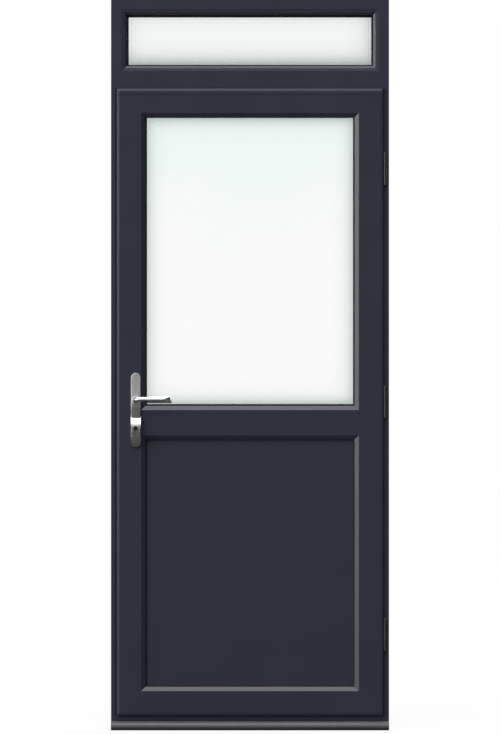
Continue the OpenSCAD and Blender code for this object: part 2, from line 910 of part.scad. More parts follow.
module leaf_seal() {
    color(rubber) difference() {
        band(leaf_x, leaf_z0, leaf_z1, wall, wall + seal_w, -seal_gap, -seal_slack);
        for (z = hinge_zs)
            block(
                [leaf_x - wall - seal_w - over, -seal_gap - over, z - hinge_l / 2 - over],
                [leaf_x + over, over, z + hinge_l / 2 + over]
            );
    }
}

// Hinges

// One knuckle of a hinge, numbered from below
module knuckle(z, place) {
    translate([axis_x, axis_y, z - hinge_l / 2 + place * (knuckle_l + knuckle_split)]) cylinder(r = knuckle_r, h = knuckle_l);
}

// The tongue that carries a knuckle, through the seal gap
module tongue(z, place, x, y) {
    foot = z - hinge_l / 2 + place * (knuckle_l + knuckle_split);
    block([x, y, foot], [axis_x, y + strap_t, foot + knuckle_l]);
}

module pin_bore(z, r) {
    translate([axis_x, axis_y, z]) cylinder(r = r, h = hinge_l + 2 * over, center = true);
}

module hinge_frame_straps() {
    x0 = rebate_x - strap_t;
    color(dark_metal) for (z = hinge_zs)
        difference() {
            union() {
                block([x0, knuckle_split, z - hinge_l / 2], [rebate_x, strap_d, z + hinge_l / 2]);
                for (place = [0, 2]) {
                    foot = z - hinge_l / 2 + place * (knuckle_l + knuckle_split);
                    block([x0, -strap_t, foot], [rebate_x, strap_d, foot + knuckle_l]);
                    tongue(z, place, x0, -strap_t);
                    knuckle(z, place);
                }
            }
            pin_bore(z, pin_r + pin_seat);
        }
}

module hinge_leaf_straps() {
    color(dark_metal) for (z = hinge_zs)
        difference() {
            union() {
                block([leaf_back_x, -seal_gap, z - hinge_l / 2], [leaf_back_x + strap_t, strap_d, z + hinge_l / 2]);
                tongue(z, 1, leaf_back_x, -seal_gap);
                knuckle(z, 1);
            }
            pin_bore(z, pin_r + pin_fit);
        }
}

module hinge_pins() {
    color(dark_metal) for (z = hinge_zs)
        translate([axis_x, axis_y, z]) {
            cylinder(r = pin_r, h = hinge_l, center = true);
            for (end = [-1, 1])
                translate([0, 0, end * (hinge_l + pin_head_h) / 2]) cylinder(r = knuckle_r, h = pin_head_h, center = true);
        }
}

// Keeps on the lock jamb

module keep_block(z0, z1) {
    block([-rebate_x, lock_y - keep_w / 2, z0], [keep_t - rebate_x, lock_y + keep_w / 2, z1]);
}

module keep_slot(z0, z1) {
    block([-rebate_x - over, lock_y - slot_w / 2, z0], [keep_t - rebate_x + over, lock_y + slot_w / 2, z1]);
}

module hook_keeps() {
    low = hook_drop(hook_depth + keep_gap) + over;
    high = hook_w / 2 + over;
    color(satin) for (z = hook_zs)
        difference() {
            keep_block(z - low - keep_margin, z + high + keep_margin);
            keep_slot(z - low, z + high);
        }
}

module centre_keep() {
    color(satin) difference() {
        keep_block(deadbolt_z - deadbolt_h / 2 - keep_margin, latch_z + latch_h / 2 + keep_margin);
        keep_slot(deadbolt_z - deadbolt_h / 2 - over, deadbolt_z + deadbolt_h / 2 + over);
        keep_slot(latch_z - latch_h / 2 - over, latch_z + latch_h / 2 + over);
    }
}

// Handle

// A plate with round ends, from z0 to z1, that stands h in front of the plane y = 0 and has a bevelled edge
module rounded_plate(w, z0, z1, h, bevel) {
    r = w / 2;
    for (z = [z0 + r, z1 - r])
        translate([0, 0, z]) rotate([90, 0, 0]) rotate_extrude()
            polygon([[0, 0], [r, 0], [r, h - bevel], [r - bevel, h], [0, h]]);
    translate([0, 0, z0 + r]) linear_extrude(z1 - z0 - w)
        polygon([[-r, 0], [r, 0], [r, bevel - h], [r - bevel, -h], [bevel - r, -h], [-r, bevel - h]]);
}

module plain_plate() {
    difference() {
        translate([spindle_x, leaf_y0, 0]) rounded_plate(plate_w, plate_z0, plate_z1, plate_t, plate_bevel);
        y_rod(spindle_x, spindle_z, neck_r + neck_fit, outer_plate_y - over, leaf_y0 + over);
    }
}

// The hump round the outside of the cylinder, one arc from end to end
module cylinder_guard() {
    arc_r = (pow(guard_l / 2, 2) + pow(guard_h, 2)) / (2 * guard_h);
    intersection() {
        translate([spindle_x, leaf_y0, 0]) rounded_plate(plate_w, plate_z0, plate_z1, plate_t + guard_h, plate_bevel);
        translate([spindle_x, guard_y + arc_r, guard_z]) rotate([0, 90, 0])
            cylinder(r = arc_r, h = plate_w + 2 * over, center = true);
        block([spindle_x - plate_w, guard_y - over, plate_z0], [spindle_x + plate_w, leaf_y0, plate_z1]);
    }
}

module outer_plate() {
    color(satin) difference() {
        union() {
            plain_plate();
            cylinder_guard();
            for (z = pillar_zs)
                y_rod(spindle_x, z, pillar_r, leaf_y0 - over, leaf_y0 + pillar_l);
        }
        euro_bar(face_fit, guard_y - over, leaf_y0 + over);
    }
}

module inner_plate() {
    color(satin) difference() {
        to_inside() plain_plate();
        euro_bar(face_fit, leaf_y1 - over, cylinder_y1 + over);
    }
}

module grip_section() {
    square([lever_t, lever_h - lever_t], center = true);
    for (end = [-1, 1])
        translate([0, end * (lever_h - lever_t) / 2]) circle(lever_t / 2);
}

// The grip along X, with its free end bent back towards the leaf
module grip() {
    run = lever_l - lever_bend - lever_t / 2;
    rotate([90, 0, 90]) linear_extrude(run) grip_section();
    translate([run, lever_bend, 0]) rotate([0, 0, -90]) rotate_extrude(angle = 90)
        translate([lever_bend, 0]) grip_section();
}

module lever() {
    socket = spindle_a + 2 * spindle_fit;
    difference() {
        union() {
            y_rod(spindle_x, spindle_z, neck_r, leaf_y0 - lever_space - over, leaf_y0 - seal_slack);
            translate([spindle_x, leaf_y0 - lever_space - lever_t / 2, spindle_z]) {
                grip();
                rotate([90, 0, 0]) linear_extrude(lever_t, center = true) circle(lever_h / 2);
            }
        }
        translate([spindle_x - socket / 2, leaf_y0 - spindle_in - spindle_fit, spindle_z - socket / 2])
            cube([socket, spindle_in + spindle_fit + over, socket]);
    }
}

module outer_lever() {
    color(bright) lever();
}

module inner_lever() {
    color(bright) to_inside() lever();
}

module spindle() {
    color(steel) translate([spindle_x - spindle_a / 2, leaf_y0 - spindle_in, spindle_z - spindle_a / 2])
        cube([spindle_a, leaf_y1 - leaf_y0 + 2 * spindle_in, spindle_a]);
}

// Lock

module follower() {
    socket = spindle_a + 2 * spindle_fit;
    half_in = case_inside / 2 - lock_fit;
    back_room = case_back - case_wall - lock_fit - backset;
    below_latch = latch_up - latch_h / 2 - lock_fit;
    before_back = (back_room - finger_w / 2 * cos(lever_swing)) / sin(lever_swing);
    finger_h = min(below_latch, before_back);
    color(steel) difference() {
        union() {
            y_rod(spindle_x, spindle_z, follower_r, lock_y - half_in, lock_y + half_in);
            y_rod(spindle_x, spindle_z, journal_r, lock_y - case_t / 2, lock_y + case_t / 2);
            block(
                [spindle_x - finger_w / 2, lock_y - bolt_t / 2, spindle_z],
                [spindle_x + finger_w / 2, lock_y + bolt_t / 2, spindle_z + finger_h]
            );
        }
        translate([spindle_x, lock_y, spindle_z]) cube([socket, case_t + 2 * over, socket], center = true);
    }
}

module lock_faceplate() {
    color(satin) difference() {
        lock_block(0, faceplate_t, faceplate_w, leaf_z0 + faceplate_inset, leaf_z1 - faceplate_inset);
        lock_block(-over, faceplate_groove, slot_w, latch_z - latch_h / 2 - lock_fit, latch_z + latch_h / 2 + lock_fit);
        lock_block(
            -over, faceplate_groove, slot_w,
            deadbolt_z - deadbolt_h / 2 - lock_fit, deadbolt_z + deadbolt_h / 2 + lock_fit
        );
        for (z = hook_zs)
            lock_block(-over, faceplate_groove, slot_w, z - hook_turn_r, z + hook_w / 2 + lock_fit);
    }
}

module lock_rail() {
    u1 = rail_in + rail_t;
    room = rail_travel + over;
    color(steel) difference() {
        lock_block(rail_in, u1, rail_w, hook_zs[0] - hook_case_down - room, hook_zs[1] + hook_case_up + room);
        lock_block(rail_in - over, u1 + over, slot_w, latch_z - latch_h / 2 - room, latch_z + latch_h / 2 + over);
        lock_block(
            rail_in - over, u1 + over, slot_w,
            deadbolt_z - deadbolt_h / 2 - room, deadbolt_z + deadbolt_h / 2 + over
        );
        for (z = hook_zs)
            lock_block(rail_in - over, u1 + over, slot_w, z - hook_turn_r - room, z + hook_w / 2 + over);
    }
}

// A case that is open towards the faceplate
module open_case(back, z0, z1) {
    difference() {
        lock_block(case_in, back, case_t, z0, z1);
        lock_block(case_in - over, back - case_wall, case_inside, z0 + case_wall, z1 - case_wall);
    }
}

module lock_cases() {
    color(steel) {
        difference() {
            open_case(case_back, case_z0, case_z1);
            y_rod(spindle_x, spindle_z, journal_r + journal_fit, lock_y - case_t, lock_y + case_t);
            euro_bar(slide_fit, lock_y - case_t, lock_y + case_t);
            lock_block(case_in, pocket_in + over, cam_w + 2 * lock_fit, cylinder_z - cam_r, cylinder_z + cam_r);
        }
        for (z = hook_zs) {
            open_case(hook_case_back, z - hook_case_down, z + hook_case_up);
            y_rod(hook_x, z, hook_pin_r, lock_y - case_inside / 2, lock_y + case_inside / 2);
        }
    }
}

module latch_bolt() {
    half = bolt_t / 2;
    color(bright) translate([-leaf_back_x, lock_y, latch_z - latch_h / 2]) linear_extrude(latch_h) polygon([
        [-latch_out, -half], [-latch_out, -half / 2], [-over, half], [bolt_l, half], [bolt_l, -half],
    ]);
}

module deadbolt() {
    color(bright) lock_block(0, bolt_l, bolt_t, deadbolt_z - deadbolt_h / 2, deadbolt_z + deadbolt_h / 2);
}

module hook(z) {
    r = hook_w / 2;
    color(bright) translate([hook_x, lock_y + bolt_t / 2, z]) rotate([90, 0, 0]) linear_extrude(bolt_t) difference() {
        union() {
            circle(r);
            translate([-r, -hook_l]) square([hook_w, hook_l]);
            translate([-r - hook_beak, -hook_l]) square([hook_w, beak_w]);
        }
        circle(hook_pin_r + hook_pin_fit);
    }
}

module upper_hook() {
    hook(hook_zs[1]);
}

module lower_hook() {
    hook(hook_zs[0]);
}

// Cylinder

module cylinder_body() {
    half = cam_w / 2 + lock_fit;
    color(satin) difference() {
        euro_bar(0, cylinder_y0, cylinder_y1);
        y_rod(spindle_x, cylinder_z, plug_r + plug_fit, cylinder_y0 - over, cylinder_y1 + over);
        block(
            [spindle_x - 2 * euro_r, lock_y - half, cylinder_z - cam_r - lock_fit],
            [spindle_x + 2 * euro_r, lock_y + half, cylinder_z + 2 * euro_r]
        );
    }
}

module keyway(y) {
    translate([spindle_x, y, cylinder_z]) cube([key_w, 2 * key_d, key_h], center = true);
}

module cylinder_plug() {
    half = cam_w / 2;
    color(bright) difference() {
        union() {
            y_rod(spindle_x, cylinder_z, plug_r, cylinder_y0, cylinder_y1);
            y_rod(spindle_x, cylinder_z, euro_r - slide_fit, lock_y - half, lock_y + half);
            intersection() {
                y_rod(spindle_x, cylinder_z, cam_r, lock_y - half, lock_y + half);
                block(
                    [spindle_x - cam_lobe / 2, lock_y - half, cylinder_z - cam_r],
                    [spindle_x + cam_lobe / 2, lock_y + half, cylinder_z]
                );
            }
        }
        keyway(cylinder_y0);
        keyway(cylinder_y1);
    }
}

frame_head();
frame_foot();
frame_lock_jamb();
frame_hinge_jamb();
frame_transom();
threshold();
frame_reinforcement();
frame_seal();
toplight_outer_pane();
toplight_inner_pane();
toplight_spacer();
toplight_gaskets();
toplight_packers();
toplight_bead_top();
toplight_bead_bottom();
toplight_bead_left();
toplight_bead_right();
hook_keeps();
centre_keep();
hinge_frame_straps();
hinge_pins();
leaf_top_rail();
leaf_bottom_rail();
leaf_lock_stile();
leaf_hinge_stile();
leaf_mid_rail();
leaf_reinforcement();
leaf_seal();
glass_outer_pane();
glass_inner_pane();
glass_spacer();
glass_gaskets();
glass_bead_top();
glass_bead_bottom();
glass_bead_left();
glass_bead_right();
lower_panel();
panel_gaskets();
panel_bead_top();
panel_bead_bottom();
panel_bead_left();
panel_bead_right();
leaf_packers();
hinge_leaf_straps();
lock_faceplate();
lock_cases();
outer_plate();
inner_plate();
cylinder_body();
outer_lever();
inner_lever();
spindle();
follower();
latch_bolt();
deadbolt();
upper_hook();
lower_hook();
lock_rail();
cylinder_plug();
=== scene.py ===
"""Dresses the half-glazed entrance door and sets it in a pale studio.

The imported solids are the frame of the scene. Each class is one sub-assembly: it holds its sizes, works out the
pieces that the solids lack as numpy surfaces, and gives its nodes and pieces their finishes. Everything is in
metres, with X along the wall, Y from outside to inside and Z up.
"""

from __future__ import annotations

import json
import logging
import math
from dataclasses import dataclass, replace
from enum import Enum
from typing import Sequence

import bpy
import numpy as np
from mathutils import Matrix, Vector

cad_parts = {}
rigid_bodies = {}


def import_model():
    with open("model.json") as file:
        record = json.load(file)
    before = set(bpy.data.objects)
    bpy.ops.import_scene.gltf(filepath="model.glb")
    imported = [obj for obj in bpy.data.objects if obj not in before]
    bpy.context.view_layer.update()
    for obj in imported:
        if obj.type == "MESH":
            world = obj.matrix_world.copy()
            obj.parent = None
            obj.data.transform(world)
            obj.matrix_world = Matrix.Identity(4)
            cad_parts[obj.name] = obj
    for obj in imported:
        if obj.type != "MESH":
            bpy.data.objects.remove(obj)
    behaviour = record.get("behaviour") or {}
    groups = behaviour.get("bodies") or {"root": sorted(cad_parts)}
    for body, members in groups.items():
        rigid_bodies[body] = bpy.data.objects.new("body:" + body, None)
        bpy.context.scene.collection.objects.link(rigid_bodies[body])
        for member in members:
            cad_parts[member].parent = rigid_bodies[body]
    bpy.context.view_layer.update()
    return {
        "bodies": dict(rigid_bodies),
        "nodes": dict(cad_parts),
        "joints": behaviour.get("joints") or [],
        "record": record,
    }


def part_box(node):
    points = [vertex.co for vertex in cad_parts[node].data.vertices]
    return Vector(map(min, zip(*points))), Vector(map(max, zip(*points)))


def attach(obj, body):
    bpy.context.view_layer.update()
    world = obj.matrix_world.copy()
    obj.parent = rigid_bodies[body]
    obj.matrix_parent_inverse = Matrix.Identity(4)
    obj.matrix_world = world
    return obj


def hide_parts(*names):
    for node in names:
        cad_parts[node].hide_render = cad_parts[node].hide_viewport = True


log = logging.getLogger("glass_door")

Colour = tuple[float, float, float]
Point = tuple[float, float, float]
Span = tuple[float, float]

MM = 0.001
FULL_TURN = 2.0 * math.pi
QUARTER_TURN = 0.5 * math.pi
# The share of a round cap's radius that is left to the fan at its middle.
POLE = 0.04
# The part of a noise, which runs from 0 to 1, that most of the surface takes.
NOISE_SPAN: Span = (0.3, 0.7)
WHITE: Colour = (1.0, 1.0, 1.0)
# The edges of a pane, in the order in which the strengths of its painted edge shade and its gasket's lips are
# given.
EDGES = ("Left", "Right", "Bottom", "Top")


class Body(str, Enum):
    """The moving bodies that new pieces ride on."""

    FRAME = "frame"
    LEAF = "leaf"
    LEVERS = "lever_set"


class Facing(Enum):
    """Outward direction of a fitting, with the two directions that span its face."""

    OUTSIDE = ((0, -1, 0), (1, 0, 0), (0, 0, 1))
    INSIDE = ((0, 1, 0), (-1, 0, 0), (0, 0, 1))
    LEFT = ((-1, 0, 0), (0, -1, 0), (0, 0, 1))
    RIGHT = ((1, 0, 0), (0, 1, 0), (0, 0, 1))
    UP = ((0, 0, 1), (1, 0, 0), (0, 1, 0))
    DOWN = ((0, 0, -1), (1, 0, 0), (0, -1, 0))

    def place(self, local: np.ndarray, at: Sequence[float]) -> np.ndarray:
        """Sets points with their height along the third column onto this face.

        Args:
            local: points (..., 3) as across, along and out.
            at: the point of the face that the local origin goes to.

        Returns:
            The points in the row frame.
        """
        out, across, along = (np.array(axis, float) for axis in self.value)
        flat = local[..., :1] * across + local[..., 1:2] * along
        return np.array(at, float) + flat + local[..., 2:] * out


def smoothstep(low: float, high: float, value: np.ndarray) -> np.ndarray:
    """Goes from 0 at low to 1 at high on the cubic 3t2 - 2t3."""
    t = np.clip((value - low) / (high - low), 0.0, 1.0)
    return t * t * (3.0 - 2.0 * t)


def around(steps: int) -> np.ndarray:
    """Angles of points that stand evenly round a circle."""
    return np.linspace(0.0, FULL_TURN, steps, endpoint=False)


@dataclass
class Shell:
    """A closed surface as arrays of points, quads and triangles."""

    points: np.ndarray
    quads: np.ndarray
    tris: np.ndarray

    @staticmethod
    def bands(rows: int, steps: int, closed: bool) -> np.ndarray:
        """Joins each row of a grid to the next with quads.

        Args:
            rows: number of rows, each a closed loop.
            steps: points on each row.
            closed: whether the last row also joins the first.

        Returns:
            Numbers of the points (n, 4).
        """
        row, step = np.meshgrid(np.arange(rows if closed else rows - 1), np.arange(steps), indexing="ij")
        below, after = (row + 1) % rows, (step + 1) % steps
        corners = [row * steps + step, row * steps + after, below * steps + after, below * steps + step]
        return np.stack(corners, -1).reshape(-1, 4)

    @staticmethod
    def from_grid(grid: np.ndarray) -> Shell:
        """Closes a grid of rings: each ring joins the next, and a fan closes the first and the last.

        Args:
            grid: points (rings, steps, 3), each ring a closed loop.

        Returns:
            The shell, with its faces outwards.
        """
        rings, steps = grid.shape[:2]
        here = np.arange(steps)
        onward = (here + 1) % steps
        foot = (rings - 1) * steps
        first, last = np.full(steps, rings * steps), np.full(steps, rings * steps + 1)
        fans = [np.stack([onward, here, first], -1), np.stack([foot + here, foot + onward, last], -1)]
        points = np.concatenate([grid.reshape(-1, 3), grid[:1].mean(1), grid[-1:].mean(1)])
        return Shell(points, Shell.bands(rings, steps, False), np.concatenate(fans)).outward()

    @staticmethod
    def from_loop(grid: np.ndarray) -> Shell:
        """Closes a grid in both directions, as on a ring: the last row joins the first.

        Args:
            grid: points (rows, steps, 3), each row a closed loop.

        Returns:
            The shell, with its faces outwards.
        """
        rows, steps = grid.shape[:2]
        no_fans = np.zeros((0, 3), int)
        return Shell(grid.reshape(-1, 3), Shell.bands(rows, steps, True), no_fans).outward()

    @staticmethod
    def join(shells: Sequence[Shell]) -> Shell:
        """Puts several shells into one, each with its own points."""
        starts = np.cumsum([0] + [len(s.points) for s in shells[:-1]])
        return Shell(
            np.concatenate([s.points for s in shells]),
            np.concatenate([s.quads + n for s, n in zip(shells, starts)]),
            np.concatenate([s.tris + n for s, n in zip(shells, starts)]),
        )

    def outward(self) -> Shell:
        """Turns the faces round where the enclosed volume, summed over its triangles, comes out negative.

        Returns:
            The shell with its faces outwards.
        """
        fans = np.concatenate([self.quads[:, :3], self.quads[:, [0, 2, 3]], self.tris])
        a, b, c = (self.points[fans[:, i]] - self.points.mean(0) for i in range(3))
        if np.einsum("ij,ij->", a, np.cross(b, c)) < 0:
            return Shell(self.points, self.quads[:, ::-1], self.tris[:, ::-1])
        return self

    def to_object(self, name: str, crease_deg: float = 38.0) -> bpy.types.Object:
        """Makes a smooth-shaded mesh object at the origin, with edges sharper than the crease left sharp.

        Args:
            name: name of the piece.
            crease_deg: angle between faces above which their edge stays sharp.

        Returns:
            The new object, linked to the scene.
        """
        mesh = bpy.data.meshes.new(name)
        mesh.from_pydata(self.points.tolist(), [], self.quads.tolist() + self.tris.tolist())
        mesh.polygons.foreach_set("use_smooth", np.ones(len(mesh.polygons), bool))
        mesh.set_sharp_from_angle(angle=math.radians(crease_deg))
        mesh.validate()
        mesh.update()
        piece = bpy.data.objects.new(name, mesh)
        bpy.context.scene.collection.objects.link(piece)
        return piece


def revolved(profile: np.ndarray, facing: Facing, at: Sequence[float], steps: int) -> Shell:
    """Turns a profile of (radius, height) about an axis that stands on a face.

    Args:
        profile: radii and heights (n, 2) from one end of the axis to the other.
        facing: the face that the axis stands on.
        at: the foot of the axis.
        steps: points round the axis.

    Returns:
        The turned shell.
    """
    angle = around(steps)
    radius, height = profile[:, :1], profile[:, 1:]
    grid = np.stack([radius * np.cos(angle), radius * np.sin(angle), height + 0 * angle], -1)
    return Shell.from_grid(facing.place(grid, at))


def ridge(start: Sequence[float], end: Sequence[float], facing: Facing, width: float, rise: float) -> Shell:
    """Carries a half-round line along a face.

    The section is half an ellipse: half the width times the cosine of an angle across, and the rise times its
    sine outwards. Its two feet are sunk by the rise.

    Args:
        start: where the line starts on the face.
        end: where it ends.
        facing: direction of the face.
        width: width of the line.
        rise: its height over the face.

    Returns:
        The line, closed at both ends.
    """
    angle = np.linspace(0.0, math.pi, 9)
    a, b = np.array(start, float), np.array(end, float)
    out = np.array(facing.value[0], float)
    across = np.cross((b - a) / np.linalg.norm(b - a), out)
    ring = 0.5 * width * np.cos(angle)[:, None] * across + rise * np.sin(angle)[:, None] * out
    ring[[0, -1]] -= rise * out
    return Shell.from_grid(np.stack([a + ring, b + ring]))


@dataclass(frozen=True)
class ScrewHead:
    """A low domed screw head with a cross recess.

    The half width of the cross's arms, their length, the depth of the recess and the width of the foot are
    shares of the radius. The first two are spans over which the recess runs out.
    """

    radius: float
    rise: float
    arm_width: Span = (0.07, 0.16)
    arm_length: Span = (0.42, 0.64)
    recess: float = 0.45
    foot: float = 0.98
    shank: float = 0.4 * MM

    def shell(self, facing: Facing, at: Sequence[float], turn: float = 0.4) -> Shell:
        """Sets the head on a face.

        The height over the face is the rise times 1 - r4, less a recess that is deep where the point lies
        close to one of the two arms of the cross and not beyond their ends.

        Args:
            facing: the face that the head sits on.
            at: middle of the head on that face.
            turn: angle of the cross.

        Returns:
            The head, closed below by a short shank.
        """
        reach = np.concatenate([np.linspace(POLE, 0.9, 15), [0.96, 1.0]])[:, None]
        angle = around(48)[None, :]
        x, y = abs(reach * np.cos(angle - turn)), abs(reach * np.sin(angle - turn))
        off_arm = smoothstep(*self.arm_width, np.minimum(x, y))
        past_end = smoothstep(*self.arm_length, np.maximum(x, y))
        cross = (1 - off_arm) * (1 - past_end)
        height = self.rise * (1 - reach**4) - self.recess * self.radius * cross
        head = np.stack([self.radius * reach * np.cos(angle), self.radius * reach * np.sin(angle), height], -1)
        shank = head[-1:] * np.array([self.foot, self.foot, 0.0]) - np.array([0.0, 0.0, self.shank])
        return Shell.from_grid(facing.place(np.concatenate([head, shank]), at))


@dataclass
class Wiring:
    """Places and joins the nodes of one shader tree."""

    tree: bpy.types.NodeTree

    def put(self, kind: str, settings: dict | None = None, **inputs: object) -> bpy.types.Node:
        """Adds a node.

        Args:
            kind: Blender's name for the node.
            settings: attributes of the node.
            inputs: values or sockets for the inputs, with _ for a space in the input's name.

        Returns:
            The node.
        """
        node = self.tree.nodes.new(kind)
        for key, value in (settings or {}).items():
            setattr(node, key, value)
        for key, value in inputs.items():
            self.feed(node.inputs[key.replace("_", " ")], value)
        return node

    def group(self, tree: bpy.types.NodeTree, **inputs: object) -> bpy.types.NodeOutputs:
        """Places a shared node group and gives its outputs."""
        return self.put("ShaderNodeGroup", {"node_tree": tree}, **inputs).outputs

    def feed(self, socket: bpy.types.NodeSocket, value: object) -> None:
        """Links a socket to another, or sets its value. A colour without an alpha is opaque.

        Args:
            socket: the input.
            value: the output that it is linked to, or its value.
        """
        if isinstance(value, bpy.types.NodeSocket):
            self.tree.links.new(value, socket)
        elif isinstance(value, tuple) and len(value) == 3 and socket.type == "RGBA":
            socket.default_value = (*value, 1.0)
        else:
            socket.default_value = value

    def math(self, operation: str, first: object, second: object = 0.0) -> bpy.types.NodeSocket:
        """One sum on two values.

        Args:
            operation: Blender's name for the sum.
            first: a number or socket.
            second: a number or socket.

        Returns:
            The socket of the result.
        """
        node = self.put("ShaderNodeMath", {"operation": operation})
        self.feed(node.inputs[0], first)
        self.feed(node.inputs[1], second)
        return node.outputs[0]

    def vectors(self, operation: str, first: object, second: object) -> bpy.types.Node:
        """One sum on two vectors.

        Args:
            operation: Blender's name for the sum.
            first: a vector or socket.
            second: a vector or socket.

        Returns:
            The node.
        """
        node = self.put("ShaderNodeVectorMath", {"operation": operation})
        self.feed(node.inputs[0], first)
        self.feed(node.inputs[1], second)
        return node

    def ramp(self, value: object, span: Span, first: float = 0.0, last: float = 1.0) -> bpy.types.NodeSocket:
        """Maps a value on a smooth step.

        Args:
            value: a number or socket.
            span: the two ends of the value.
            first: the result at the first end.
            last: the result at the second end.

        Returns:
            The socket of the result.
        """
        node = self.put("ShaderNodeMapRange", {"interpolation_type": "SMOOTHSTEP"}, Value=value)
        for index, number in enumerate((*span, first, last), 1):
            node.inputs[index].default_value = number
        return node.outputs[0]

    def blend(self, share: object, first: object, second: object) -> bpy.types.NodeSocket:
        """Mixes two colours.

        Args:
            share: share of the second colour.
            first: a colour or socket.
            second: a colour or socket.

        Returns:
            The socket of the mix.
        """
        node = self.put("ShaderNodeMix", {"data_type": "RGBA"})
        for index, value in ((0, share), (6, first), (7, second)):
            self.feed(node.inputs[index], value)
        return node.outputs[2]

    def shade(self, noise: object, dark: object, light: object) -> bpy.types.NodeSocket:
        """Goes from a dark to a light colour over the middle of a noise."""
        return self.blend(self.ramp(noise, NOISE_SPAN), dark, light)

    def about(self, noise: object, middle: float, spread: float) -> bpy.types.NodeSocket:
        """Brings a noise about one half to a spread about a middle."""
        return self.math("ADD", self.math("MULTIPLY", noise, spread), middle - 0.5 * spread)

    def coat(self, shader: bpy.types.Node, tone: object, rough: object) -> None:
        """Gives a shader its colour and its roughness."""
        self.feed(shader.inputs["Base Color"], tone)
        self.feed(shader.inputs["Roughness"], rough)

    def relief(self, shader: bpy.types.Node, height: object, strength: float, distance: float) -> None:
        """Bumps a shader's normal by a height."""
        bump = self.put("ShaderNodeBump", Height=height, Strength=strength, Distance=distance)
        self.feed(shader.inputs["Normal"], bump.outputs["Normal"])


